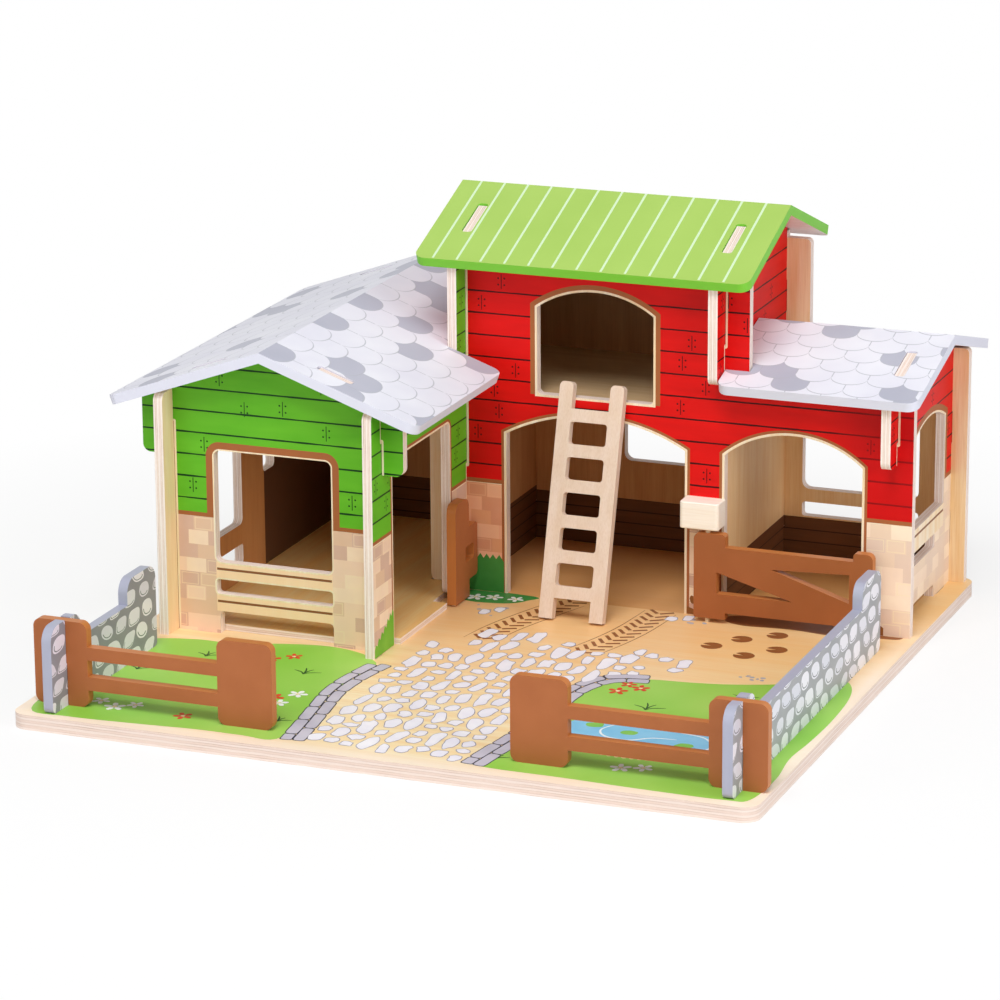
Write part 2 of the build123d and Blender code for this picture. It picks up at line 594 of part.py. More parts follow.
# ---------------------------------------------------------------- ladder
tilt = sqrt(1 + LADDER_RUN ** 2)
foot_y = BARN_FRONT_Y - LADDER_RUN * LOFT[2]
ladder_plane = Plane(
    origin=(LADDER_X - BOARD_W / 2, foot_y - BOARD_D / 2, BOARD_T),
    x_dir=(1, 0, 0),
    z_dir=(0, -1, LADDER_RUN),
)
with BuildPart() as ladder:
    with BuildSketch(ladder_plane) as face:
        patch(-LADDER_W / 2, LADDER_W / 2, 0, LADDER_L)
        inside = LADDER_W / 2 - STILE
        cut(-inside, inside, 0, RUNG_FIRST)
        for n in range(RUNGS - 1):
            bottom = RUNG_FIRST + RUNG_PITCH - RUNG_HOLE + n * RUNG_PITCH
            cut(-inside, inside, bottom, bottom + RUNG_HOLE, radius=2)
        cut(-inside, inside, RUNG_FIRST + RUNG_PITCH - RUNG_HOLE + (RUNGS - 1) * RUNG_PITCH, LADDER_L)
        ease(face, 3, (-LADDER_W / 2, LADDER_L), (LADDER_W / 2, LADDER_L), (-inside, LADDER_L), (inside, LADDER_L))
    extrude(amount=SHEET)

# ---------------------------------------------------------------- yard
with BuildPart() as left_fence:
    with BuildSketch(across(LEFT_FENCE[1])) as face:
        x0 = LEFT_FENCE[0]
        patch(x0, x0 + FENCE_POST, 0, FENCE_H, radius=5)
        patch(x0 + FENCE_L - FENCE_POST, x0 + FENCE_L, 0, FENCE_H, radius=5)
        for b0, b1 in FENCE_RAILS:
            patch(x0 + FENCE_POST - 6, x0 + FENCE_L - FENCE_POST + 6, b0, b1)
        cut(LEFT_STONE_X - FIT, LEFT_STONE_X + SHEET + FIT, 0, HALF_FENCE)
        tabs(((x0 + FENCE_TAB[0], x0 + FENCE_TAB[1]),))
    extrude(amount=-SHEET)

with BuildPart() as right_fence:
    with BuildSketch(across(RIGHT_FENCE[1])) as face:
        x0 = RIGHT_FENCE[0]
        patch(x0, x0 + FENCE_POST, 0, FENCE_H, radius=5)
        patch(x0 + FENCE_L - FENCE_POST, x0 + FENCE_L, 0, FENCE_H, radius=5)
        for b0, b1 in FENCE_RAILS:
            patch(x0 + FENCE_POST - 6, x0 + FENCE_L - FENCE_POST + 6, b0, b1)
        cut(RIGHT_STONE_X - FIT, RIGHT_STONE_X + SHEET + FIT, 0, HALF_FENCE)
        tabs(((x0 + FENCE_L - FENCE_TAB[1], x0 + FENCE_L - FENCE_TAB[0]),))
    extrude(amount=-SHEET)

with BuildPart() as left_stone_wall:
    with BuildSketch(along(LEFT_STONE_X)) as face:
        y0, y1 = LEFT_STONE
        patch(y0, y1, 0, STONE_RUN)
        patch(y0, y0 + STONE_POST, 0, STONE_H)
        patch(y1 - STONE_POST, y1, 0, STONE_H)
        ease(face, STONE_R, (y0, STONE_H), (y0 + STONE_POST, STONE_H), (y1 - STONE_POST, STONE_H), (y1, STONE_H))
        ease(face, 4, (y0, 0), (y1, 0))
        cut(LEFT_FENCE[1] - FIT, LEFT_FENCE[1] + SHEET + FIT, HALF_FENCE, STONE_H)
        tabs(LEFT_STONE_TABS)
    extrude(amount=SHEET)

with BuildPart() as right_stone_wall:
    with BuildSketch(along(RIGHT_STONE_X)) as face:
        y0, y1 = RIGHT_STONE
        patch(y0, y1, 0, STONE_RUN)
        patch(y0, y0 + STONE_POST, 0, STONE_H)
        patch(y1 - STONE_POST, y1, 0, STONE_H)
        ease(face, STONE_R, (y0, STONE_H), (y0 + STONE_POST, STONE_H), (y1 - STONE_POST, STONE_H), (y1, STONE_H))
        ease(face, 4, (y0, 0), (y1, 0))
        cut(RIGHT_FENCE[1] - FIT, RIGHT_FENCE[1] + SHEET + FIT, HALF_FENCE, STONE_H)
        tabs(RIGHT_STONE_TABS)
    extrude(amount=SHEET)

# ---------------------------------------------------------------- export
NAMED = {
    "base_board": base_board,
    "cottage_floor": cottage_floor,
    "cottage_front_wall": cottage_front_wall,
    "cottage_left_wall": cottage_left_wall,
    "cottage_right_wall": cottage_right_wall,
    "cottage_roof_left": cottage_roof_left,
    "cottage_roof_right": cottage_roof_right,
    "barn_front_wall": barn_front_wall,
    "tower_right_wall": tower_right_wall,
    "right_side_wall": right_side_wall,
    "rear_wall": rear_wall,
    "loft_floor": loft_floor,
    "tower_roof_front": tower_roof_front,
    "tower_roof_rear": tower_roof_rear,
    "lean_to_roof_front": lean_to_roof_front,
    "lean_to_roof_rear": lean_to_roof_rear,
    "barn_gate": barn_gate,
    "barn_gate_pins": barn_gate_pins,
    "gate_block": gate_block,
    "cottage_door": cottage_door,
    "cottage_door_pin": cottage_door_pin,
    "ladder": ladder,
    "left_fence": left_fence,
    "left_stone_wall": left_stone_wall,
    "right_fence": right_fence,
    "right_stone_wall": right_stone_wall,
}
for label, piece in NAMED.items():
    piece.part.label = label
    export_step(piece.part, f"parts/{label}.step")
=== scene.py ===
import math
import random
from collections import namedtuple
import bpy
from mathutils import Matrix, Vector


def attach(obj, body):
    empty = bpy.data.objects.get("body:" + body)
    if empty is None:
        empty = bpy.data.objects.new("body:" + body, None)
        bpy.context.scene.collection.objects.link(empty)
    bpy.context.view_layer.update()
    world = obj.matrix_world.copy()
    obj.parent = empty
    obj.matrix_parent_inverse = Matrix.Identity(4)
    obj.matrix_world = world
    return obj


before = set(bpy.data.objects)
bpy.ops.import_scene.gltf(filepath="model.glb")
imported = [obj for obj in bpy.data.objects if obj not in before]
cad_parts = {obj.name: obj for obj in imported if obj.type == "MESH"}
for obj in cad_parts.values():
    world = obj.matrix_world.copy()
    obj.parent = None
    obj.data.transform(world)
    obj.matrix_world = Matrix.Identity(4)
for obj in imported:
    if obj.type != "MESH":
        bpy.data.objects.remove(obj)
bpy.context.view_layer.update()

# ---------------- places
# Lengths are in millimetres from the board's front left corner and its top face, as in the drawings.
BOARD_W, BOARD_D, BOARD_T = 450.0, 440.0, 9.0
CORNER = (BOARD_W / 2, BOARD_D / 2, -BOARD_T)
SHEET = 6.0
FIT = 0.3                     # play beside a sheet in its slot


def low_side(node, axis):
    """Where a node of the frame begins along an axis."""
    low = min(v.co[axis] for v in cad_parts[node].data.vertices)
    return round(low * 1000 + CORNER[axis], 2)


LEFT_X = low_side("cottage_left_wall", 0)
PARTY_X = low_side("cottage_right_wall", 0)
TOWER_X = low_side("tower_right_wall", 0)
RIGHT_X = low_side("right_side_wall", 0)
COTTAGE_FRONT_Y = low_side("cottage_front_wall", 1)
BARN_FRONT_Y = low_side("barn_front_wall", 1)
REAR_Y = low_side("rear_wall", 1)
BARN_INNER_Y = BARN_FRONT_Y + SHEET
COTTAGE_MID = (LEFT_X + PARTY_X + SHEET) / 2
BARN_MID = (BARN_FRONT_Y + REAR_Y + SHEET) / 2
COTTAGE_SLOPE, LEAN_SLOPE = math.radians(19.54), math.radians(15.11)

# Heights
COTTAGE_HALVING, PARTY_HALVING, TOWER_HALVING, RIGHT_HALVING = 130.6, 81, 171, 120.3
COTTAGE_TOP = 131             # the tower's boards show above this, over the cottage's roof
LEAN_TOP = 145                # and above this, over the lean-to's roof
LOFT_TOP = 129                # top face of the loft floor
LOFT_SILL = 130               # the loft opening's brown line ends here
STABLE_TOP = 140              # the rear wall's inner wood ends here in the stable
GABLE_EAR = 16                # reach of the tower's gable in front of the barn's wall
UNDER, OVER = -20, 300        # below and above every sheet

# Openings in the sheets: start, end, bottom, top, corner radius
COTTAGE_WINDOW = (50, 126.5, 45, 115, 4)
COTTAGE_GAP = (50, 126.5, 25, 34.3, 2)
LEFT_WINDOW = (205, 270, 40, 112, 4)
LEFT_SLIT = (302, 319, 64.5, 112, 3)
DOORWAY = (191.6, 282, UNDER, 115, 4)
TOWER_EAR = (290, 309, 100, 150.5)
REAR_WINDOW = (220, 300, 57.7, 118, 5)
BAY_WINDOW = (339, 415, 50.9, 118, 5)
BAY_GAP = (339, 415, 33, 42.4, 2)

# Arched openings: start, end, sill, spring of the arch, crown
LOFT = (206.2, 281.5, 130.3, 185, 197.2)
CENTRE_ARCH = (185.6, 302, UNDER, 103.3, 118.6)
RIGHT_ARCH = (327.3, 414.1, UNDER, 103.3, 119.4)
STABLE_WINDOW = (346, 413.5, 55.5, 112, 120)

# Heights of the tenons that show on the rear wall
LOW_TENONS = ((25, 45), (90, 110))
HIGH_TENONS = LOW_TENONS + ((165, 185),)


# ---------------- colours
def linear(c):
    """The linear value of a channel that shows as c on a screen, 0 to 255."""
    share = c / 255
    return share / 12.92 if share < 0.04045 else ((share + 0.055) / 1.055) ** 2.4


def rgb(r, g, b):
    """A colour given as it shows on a screen."""
    return linear(r), linear(g), linear(b), 1.0


# Woods: pale, middle and deep tone
WALL_WOOD = rgb(253, 241, 222), rgb(244, 216, 174), rgb(230, 188, 138)
# Inner faces carry painted shade: the next tones are warmer, more golden wood, and the darker SHADED_WOOD
# where more shade falls
INNER_SHADE_WOOD = rgb(248, 216, 168), rgb(240, 198, 144), rgb(222, 168, 112)
SHADED_WOOD = rgb(214, 158, 104), rgb(198, 140, 88), rgb(174, 116, 68)
REAR_WOOD = rgb(250, 228, 192), rgb(238, 200, 146), rgb(218, 166, 108)
BOARD_WOOD = rgb(255, 242, 204), rgb(250, 220, 168), rgb(234, 192, 132)
FLOOR_WOOD = rgb(255, 222, 158), rgb(255, 206, 130), rgb(246, 184, 104)
LOFT_WOOD = rgb(214, 186, 146), rgb(200, 168, 126), rgb(180, 144, 102)
ROOF_WOOD = rgb(246, 238, 228), rgb(236, 226, 212), rgb(222, 208, 190)
LADDER_WOOD = rgb(232, 210, 194), rgb(224, 198, 176), rgb(208, 176, 148)
BLOCK_WOOD = rgb(255, 246, 236), rgb(252, 238, 222), rgb(242, 220, 198)
PIN_WOOD = rgb(246, 230, 205), rgb(232, 208, 172), rgb(214, 184, 142)

# Figure of the wood, as turns per millimetre along and across the grain: broad bands and fine fibres
BANDS = 0.008, 0.16
FIBRES = 0.05, 1.6

# Cut edges of plywood: the two tones of its pale and of its dark layers, and the glue between layers,
# whose half width is a share of a layer
PLY_LAYERS = 5
PALE_LAYER = rgb(247, 231, 222), rgb(252, 241, 235)
DARK_LAYER = rgb(236, 214, 200), rgb(247, 230, 220)
GLUE = rgb(166, 124, 98)
GLUE_HALF = 0.14

# Printed boards: height of one joint between boards, tone, shade and line
Paint = namedtuple("Paint", "joint tone shade line")
GREEN = Paint(83.8, rgb(110, 190, 42), rgb(94, 176, 34), rgb(14, 54, 16))
RED = Paint(82.4, rgb(232, 14, 10), rgb(212, 10, 8), rgb(66, 4, 6))
PLANK = 13.73                 # height of a printed board
PLANK_LINE = 0.22, 0.6        # half width of the line between boards: least, and what varies

# Butt joints of the boards: half width and half height of the line, and the nails beside it
JOINT_LINE = 0.27, 4.6
NAIL_OFF, NAIL_R = 2.0, 0.58

# Printed bricks: size, the commonest tone, and the others, each above a share of the bricks
BRICK_W, BRICK_H = 13.0, 8.8
BRICK = rgb(206, 166, 144)
OTHER_BRICKS = (0.36, rgb(244, 210, 180)), (0.62, rgb(250, 224, 192)), (0.84, rgb(222, 184, 148))
PALE_BRICK = rgb(255, 236, 214)
WORN_BRICK = rgb(228, 196, 178)
BRICK_RIM = rgb(248, 228, 190)
RIM_INSIDE, RIM_OUTSIDE = (5.1, 3.2), (5.7, 3.8)        # from the brick's middle, across and down

# Brown belt between bricks and boards: top of the bricks, low and high edge of the belt
Belt = namedtuple("Belt", "bricks low high")
COTTAGE_BELT = Belt(72.5, 72.6, 75.2)
PARTY_BELT = Belt(69.5, 70.3, 72.5)
BARN_BELT = Belt(70, 70.4, 73)
BROWN = rgb(167, 98, 57)
RAIL_LINE = rgb(140, 88, 58)
RAIL_LINE_HALF = 0.75

# Dark boards printed low on the inner faces
DARK_BOARDS = rgb(98, 60, 38), rgb(124, 80, 50)
DARK_LINE = rgb(66, 38, 24)
DARK_PLANK, DARK_GAP = 8.0, 0.4
# Dark brown over the cottage's left inner face from the slit to the back, at every height
DARK_WALL = rgb(96, 60, 38)

# Roof tiles: width and depth that shows, a tile's tip along the ridge and down the slope, height of its
# round end, and share of pale tiles
Tiles = namedtuple("Tiles", "wide deep along down tip pale")
COTTAGE_TILES = Tiles(26.5, 17.6, 211.5, 52.6, 9.5, 0.76)
LEAN_TILES = Tiles(22.35, 13.45, 348.6, 16.4, 7.5, 0.85)
PALE_TILE = rgb(226, 226, 238), rgb(240, 241, 248)
DARK_TILE = rgb(172, 174, 190), rgb(190, 191, 205)
TILE_LINE = rgb(176, 178, 188)
TILE_LINE_HALF = 0.42
TILE_EDGE = rgb(222, 222, 236)

# Paint of the fences, the gate and the leaf; the gate's is darker, which is painted shade
FENCE_BROWN = rgb(168, 99, 58), rgb(178, 107, 64)
GATE_SHADE_BROWN = rgb(158, 92, 52), rgb(168, 99, 58)
BROWN_EDGE = rgb(206, 130, 66)

# Stones of the yard walls
STONE_W, STONE_H = 18.4, 12.2
STONE_LINE = rgb(98, 106, 112)
STONE_EDGE = rgb(170, 172, 190)


# ---------------- a small language for materials
class Graph:
    """The nodes of a material or of the world, each made and wired in one call."""

    def __init__(self, tree):
        self.tree = tree
        tree.nodes.clear()

    def feed(self, socket, value):
        """Put a number, a colour or what another node gives into a socket."""
        if isinstance(value, Num):
            value = value.socket
        if isinstance(value, bpy.types.NodeSocket):
            self.tree.links.new(value, socket)
        else:
            socket.default_value = value

    def node(self, kind, inputs=None, **settings):
        """A node with its settings; inputs gives values to its sockets, by name or by number."""
        node = self.tree.nodes.new("ShaderNode" + kind)
        for name, value in settings.items():
            setattr(node, name, value)
        for key, value in (inputs or {}).items():
            self.feed(node.inputs[key], value)
        return node


def step(kind):
    """A method that puts numbers through one kind of math node."""
    return lambda self, *others: self.op(kind, *others)


class Num:
    """A number that varies over a surface. Comparisons give 1 or 0."""

    def __init__(self, graph, socket):
        self.graph, self.socket = graph, socket

    def op(self, kind, *others):
        node = self.graph.node("Math", dict(enumerate((self, *others))), operation=kind)
        return Num(self.graph, node.outputs[0])

    __add__ = step("ADD")
    __sub__ = step("SUBTRACT")
    __mul__ = step("MULTIPLY")
    __truediv__ = step("DIVIDE")
    __lt__ = step("LESS_THAN")
    __gt__ = step("GREATER_THAN")
    __and__ = step("MULTIPLY")
    __or__ = step("MAXIMUM")
    __abs__ = step("ABSOLUTE")
    low = step("MINIMUM")
    high = step("MAXIMUM")
    mod = step("FLOORED_MODULO")
    floor = step("FLOOR")
    root = step("SQRT")
    power = step("POWER")

    def __rsub__(self, other):
        return self * -1 + other

    def __invert__(self):
        return 1 - self

    def near(self, centre, half):
        """1 within half of centre."""
        return abs(self - centre) < half

    def inside(self, start, end):
        """1 between start and end."""
        return self.near((start + end) / 2, (end - start) / 2)

    def held(self):
        """Kept between 0 and 1."""
        return self.high(0.0).low(1.0)

    def ramp(self, start, end):
        """0 up to start and 1 from end on."""
        return ((self - start) / (end - start)).held()


def length(a, b):
    return (a * a + b * b).root()


RELIEF = 0.00005              # depth of a material's relief, in metres


class Finish(Graph):
    """A material built up in layers over a piece's own coordinates."""

    def __init__(self, name):
        self.mat = bpy.data.materials.new(name)
        self.mat.use_nodes = True
        super().__init__(self.mat.node_tree)
        self.shader = self.node("BsdfPrincipled", {"Specular IOR Level": 0.2})
        self.node("OutputMaterial", {"Surface": self.shader.outputs[0]})
        own = self.node("TexCoord").outputs["Object"]
        drawn = self.node("VectorMath", {0: own, 1: (1000, 1000, 1000), 2: CORNER}, operation="MULTIPLY_ADD")
        self.x, self.y, self.z = self.split(drawn.outputs[0])
        normal = self.node("NewGeometry").outputs["True Normal"]
        turned = self.node("VectorTransform", {0: normal},
                           vector_type="NORMAL", convert_from="WORLD", convert_to="OBJECT")
        self.nx, self.ny, self.nz = self.split(turned.outputs[0])
        self.rough = 0.5
        self.relief = None

    def split(self, vector):
        return [Num(self, s) for s in self.node("SeparateXYZ", {0: vector}).outputs]

    def join(self, a, b, c):
        return self.node("CombineXYZ", {0: a, 1: b, 2: c}).outputs[0]

    def noise(self, a, b, c=0.0, detail=2.0):
        node = self.node("TexNoise", {"Vector": self.join(a, b, c), "Scale": 1.0, "Detail": detail})
        return Num(self, node.outputs["Fac"])

    def chance(self, a, b, c):
        """A random number between 0 and 1 for each whole a, b and c."""
        return Num(self, self.node("TexWhiteNoise", {"Vector": self.join(a, b, c)}).outputs["Value"])

    def mix(self, part, under, over):
        """under where part is 0, over where it is 1."""
        return self.node("Mix", {0: part, 6: under, 7: over}, data_type="RGBA").outputs[2]

    def patches(self, dark, light, a, b, c=0.0, contrast=1.6):
        """Two tones in soft patches over the coordinates a, b and c."""
        return self.mix((self.noise(a, b, c) - 0.3) * contrast, dark, light)

    def over(self, part, colour):
        """One more layer, where part is 1."""
        self.colour = self.mix(part, self.colour, colour)

    def done(self, *nodes):
        """Wire the layers into the shader and put the material on the nodes."""
        self.feed(self.shader.inputs["Base Color"], self.colour)
        self.feed(self.shader.inputs["Roughness"], self.rough)
        if self.relief is not None:
            bump = self.node("Bump", {"Height": self.relief, "Strength": 1.0, "Distance": RELIEF})
            self.feed(self.shader.inputs["Normal"], bump.outputs[0])
        for n in nodes:
            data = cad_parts[n].data
            data.materials.clear()
            data.materials.append(self.mat)


# ---------------- wood
def grain(f, run, side, third, tones=WALL_WOOD):
    """Plain wood whose figure runs along run."""
    pale, mid, deep = tones
    along, across = BANDS
    bands = f.noise(run * along, side * across, third * across, 3.0)
    along, across = FIBRES
    fibres = f.noise(run * along, side * across, third * across)
    f.relief = fibres
    tone = f.mix((bands - 0.32) * 2.4, mid, pale)
    return f.mix(((fibres - 0.42) * 2.2).high(0.0) * 0.55, tone, deep)


def ply(f, depth, thick, layers, a, b):
    """Cut edge of a sheet, with its layers across depth and broken lines of glue between them."""
    wave = f.noise(a * 0.06, b * 0.06, depth * 0.2)
    at = depth / thick * layers + (wave - 0.5) * 0.5
    fleck = f.noise(a * 0.5, b * 0.5, depth * 3.0)
    broken = f.noise(a * 0.035, b * 0.035, at.floor() * 4.7)
    pale = f.mix((fleck - 0.35) * 1.6, *PALE_LAYER)
    dark = f.mix((fleck - 0.35) * 2.0, *DARK_LAYER)
    edge = f.mix(at.mod(2.0) > 1.0, pale, dark)
    line = abs(at.mod(1.0) - 0.5) > 0.5 - GLUE_HALF
    return f.mix(line & ((broken - 0.38) * 3.4).held() & (fleck + 0.25) & 0.9, edge, GLUE)


class Sheet(Finish):
    """A standing sheet that runs along x or y. u is the place along it, and out is where its face looks."""

    def __init__(self, name, run, start, out=-1, tones=WALL_WOOD):
        super().__init__(name)
        self.u, across, normal = (self.x, self.y, self.ny) if run == "x" else (self.y, self.x, self.nx)
        depth = across - start
        self.face = (normal * out) > 0.5
        self.back = (normal * -out) > 0.5
        self.colour = self.wood = grain(self, self.z, self.u, depth, tones)
        self.over(~(self.face | self.back), ply(self, depth, SHEET, PLY_LAYERS, self.u, self.z))

    def inner(self, part, dim=0.0):
        """Raw wood of an inner face with painted shade, warmer and more golden than the outer faces; dim is a
        part where the painted shade is deeper.
        """
        warm_shade = grain(self, self.z, self.u, 3.0, INNER_SHADE_WOOD)
        deep = grain(self, self.z, self.u, 3.0, SHADED_WOOD)
        self.over(part, self.mix(dim, warm_shade, deep))

    def box(self, start, end, bottom, top, r=0.0):
        """Distance outside a rectangle with round corners."""
        du = abs(self.u - (start + end) / 2) - ((end - start) / 2 - r)
        dz = abs(self.z - (bottom + top) / 2) - ((top - bottom) / 2 - r)
        return length(du.high(0.0), dz.high(0.0)) - r

    def arch(self, start, end, sill, spring, crown):
        """Distance outside an opening whose head is an arc."""
        half, rise = (end - start) / 2, crown - spring
        radius = (half * half + rise * rise) / (2 * rise)
        du = self.u - (start + end) / 2
        side = (abs(du) - half).high(sill - self.z)
        top = length(du, self.z - (crown - radius)) - radius
        return side.high(top)

    def planks(self, part, paint, low):
        """Painted boards above low, with a dark line between two boards."""
        part = part & (self.z > low)
        self.over(part, self.patches(paint.shade, paint.tone, self.u * 0.02, self.z * 0.1, contrast=1.8))
        board = (self.z / PLANK).floor()
        least, more = PLANK_LINE
        wide = self.noise(self.u * 0.06, board * 3.1, 7.0, 1.0) * more + least
        off = abs((self.z - paint.joint).mod(PLANK) - PLANK / 2)
        self.over(part & (PLANK / 2 - off < wide), paint.line)

    def nails(self, part, paint, joints):
        """Butt joints of boards, each with nails on both sides."""
        du = dz = hit = None
        for u, z in joints:
            a, b = abs(self.u - u), abs(self.z - z)
            here = (a < NAIL_OFF * 2) & (b < 6.0)
            du = a * here if du is None else du + a * here
            dz = b * here if dz is None else dz + b * here
            hit = here if hit is None else hit + here
        line = (du < JOINT_LINE[0]) & (dz < JOINT_LINE[1])
        nail = length(du - NAIL_OFF, dz - NAIL_OFF) < NAIL_R
        self.over(part & hit & (line | nail), paint.line)

    def bricks(self, part, top, shift, pale):
        """Bricks in mixed tones below top, some with a light rim; pale is a part with paler ones."""
        down = (top - self.z) / BRICK_H
        row = down.floor()
        along = (self.u + shift) / BRICK_W + row * 0.5 + self.chance(row, 3.0, 1.0) * 0.3
        col = along.floor()
        pick = self.chance(row, col, 5.0)
        colour = BRICK
        for share, other in OTHER_BRICKS:
            colour = self.mix(pick > share, colour, other)
        colour = self.mix(pale, colour, PALE_BRICK)
        worn = self.noise(self.u * 0.08, self.z * 0.08, 2.0)
        colour = self.mix((worn - 0.4) * 0.8, colour, WORN_BRICK)
        du = abs(along.mod(1.0) - 0.5) * BRICK_W
        dz = abs(down.mod(1.0) - 0.5) * BRICK_H
        rim = ((du > RIM_INSIDE[0]) | (dz > RIM_INSIDE[1])) & ((du < RIM_OUTSIDE[0]) & (dz < RIM_OUTSIDE[1]))
        colour = self.mix(rim & (self.chance(row, col, 9.0) > 0.66) & 0.55, colour, BRICK_RIM)
        self.over(part & (self.z < top), colour)

    def wall(self, part, paint, belt, joints, shift, pale=0.0):
        """Painted boards over bricks, with a brown belt that covers where they meet."""
        self.planks(part, paint, (belt.low + belt.high) / 2)
        self.nails(part, paint, joints)
        self.bricks(part, belt.bricks, shift, pale)
        self.over(part & self.z.inside(belt.low, belt.high), BROWN)

    def bare(self, part, gap, width):
        """Bare wood within width of an opening, where gap is the distance from it."""
        self.over(part & (gap < width), self.wood)

    def rim(self, part, gap, reach, bare, low=None):
        """Bare wood along an opening and a brown line round it, which stays above low."""
        line = part & (gap < reach)
        self.over(line if low is None else line & (self.z > low), BROWN)
        self.bare(part, gap, bare)

    def crossing(self, part, start, bottom, top, bare=1.3):
        """Bare wood beside a sheet that stands through this one."""
        self.bare(part, self.box(start - FIT, start + SHEET + FIT, bottom, top), bare)

    def rails(self, part, opening, bottom, lines, colour=None):
        """Bare wood of the rails below an opening, with a line along each."""
        start, end, top = opening[:3]
        self.over(part & self.z.inside(bottom, top) & self.u.inside(start, end), colour or self.wood)
        for z in lines:
            line = self.z.near(z, RAIL_LINE_HALF) & self.u.inside(start + 0.5, end - 0.5)
            self.over(part & line, RAIL_LINE)

    def dark_band(self, part, top):
        """Dark boards printed low on an inner face."""
        blot = self.noise(self.u * 0.03, self.z * 0.3, 1.0)
        part = part & (self.z < top)
        self.over(part, self.mix(blot, *DARK_BOARDS))
        gap = abs(self.z.mod(DARK_PLANK) - DARK_PLANK / 2) > DARK_PLANK / 2 - DARK_GAP
        self.over(part & gap, DARK_LINE)


# ---------------- walls
def cottage_front():
    s = Sheet("cottage_front_print", "x", COTTAGE_FRONT_Y)
    f = s.face
    s.inner(s.back)
    joints = ((55, 159.5), (71, 142), (96, 144.5), (124, 132), (44, 118), (36, 92), (140, 91), (121, 160))
    s.wall(f, GREEN, COTTAGE_BELT, joints, shift=0.0, pale=0.1)
    s.over(f & (s.z < COTTAGE_BELT.bricks) & 0.18, rgb(255, 200, 200))
    rosy = s.mix(0.8, s.wood, rgb(255, 212, 174))
    s.rails(f, COTTAGE_WINDOW, bottom=14.2, lines=(40.8, 20.4), colour=rosy)
    s.rim(f, s.box(*COTTAGE_WINDOW), reach=5.2, bare=0.9, low=COTTAGE_BELT.low)
    s.bare(f, s.box(*COTTAGE_GAP), 0.9)
    for x in (LEFT_X, PARTY_X):
        s.crossing(f, x, UNDER, COTTAGE_HALVING)
    s.done("cottage_front_wall")


def cottage_left():
    s = Sheet("cottage_left_print", "y", LEFT_X)
    f = s.face
    room, porch = s.back & (s.u > COTTAGE_FRONT_Y), s.back & (s.u < COTTAGE_FRONT_Y)
    # Painted shade on the inner face: deep in the room and lighter in the porch, and the room's wood tinted
    # orange as part of the same painted shade
    s.inner(room, 0.9)
    s.inner(porch & 0.55)
    s.over(room & 0.4, rgb(190, 108, 40))
    joints = ((190, 132), (236, 145), (284, 118), (336, 91), (366, 132), (404, 105), (345, 145), (182, 91))
    s.wall(f, GREEN, COTTAGE_BELT, joints, shift=4.0)
    s.rails(f, LEFT_WINDOW, bottom=27, lines=(35.5,))
    for opening in (LEFT_WINDOW, LEFT_SLIT):
        s.rim(f, s.box(*opening), reach=5.2, bare=0.9, low=COTTAGE_BELT.low)
    s.crossing(f, COTTAGE_FRONT_Y, COTTAGE_HALVING, OVER)
    # Dark brown over the inner face from the slit to the back, at every height
    s.over(s.back & (s.u > LEFT_SLIT[0] + 1), DARK_WALL)
    s.done("cottage_left_wall")


def party():
    """The wall between cottage and tower, whose front part is the cottage's side wall."""
    s = Sheet("party_print", "y", PARTY_X, out=1)
    side, barn = s.face & (s.u < BARN_FRONT_Y), s.face & (s.u > BARN_INNER_Y)
    cottage = s.back & (s.u > COTTAGE_FRONT_Y + SHEET) & (s.z < COTTAGE_TOP)
    # Painted shade on the faces inside the barn and the cottage, deeper in the barn
    s.inner(barn | cottage, barn * 0.8)
    joints = ((167, 105), (182, 91), (187, 105), (296, 105), (292, 91), (299, 160), (303, 187))
    s.wall(side, GREEN, PARTY_BELT, joints, shift=3.0, pale=0.2)
    s.rim(side, s.box(*DOORWAY), reach=2.9, bare=1.2)
    s.crossing(side, COTTAGE_FRONT_Y, COTTAGE_HALVING, OVER, bare=1.2)
    s.crossing(side, BARN_FRONT_Y, UNDER, PARTY_HALVING, bare=1.0)
    s.dark_band(barn, top=35)
    s.dark_band(cottage, top=32)
    gable = s.back & (s.u > BARN_FRONT_Y - GABLE_EAR)
    s.planks(gable, RED, COTTAGE_TOP)
    s.nails(gable, RED, ((318, 199), (352, 171), (392, 212), (420, 185), (370, 226)))
    s.done("cottage_right_wall")


def barn_front():
    s = Sheet("barn_front_print", "x", BARN_FRONT_Y)
    f = s.face & (s.u > PARTY_X)
    s.inner(s.back)
    joints = ((183, 199), (170, 185), (192, 144), (178, 130.5), (181, 117), (167, 103), (300, 158),
              (316, 89), (341, 185), (306, 171), (299, 130.5), (315, 144), (357, 158), (419, 117),
              (401, 103), (329, 199))
    left_pier, right_pier = s.u < 200, s.u > 400
    s.wall(f, RED, BARN_BELT, joints, shift=6.0, pale=right_pier * 0.5)
    # Painted shade: the left pier's bricks darker and more orange
    s.over(f & left_pier & (s.z < BARN_BELT.bricks) & 0.5, rgb(246, 152, 98))
    s.over(f & s.u.ramp(390, 420) & (s.z > BARN_BELT.high) & 0.5, rgb(188, 0, 12))
    s.rim(f, s.arch(*LOFT), reach=4.4, bare=1.4, low=LOFT_SILL)
    for opening in (CENTRE_ARCH, RIGHT_ARCH):
        s.rim(f, s.arch(*opening), reach=3.2, bare=1.5)
    for x, bottom in ((PARTY_X, PARTY_HALVING), (TOWER_X, TOWER_HALVING), (RIGHT_X, RIGHT_HALVING)):
        s.crossing(f, x, bottom, OVER)
    s.dark_band(s.back, top=33)
    s.done("barn_front_wall")


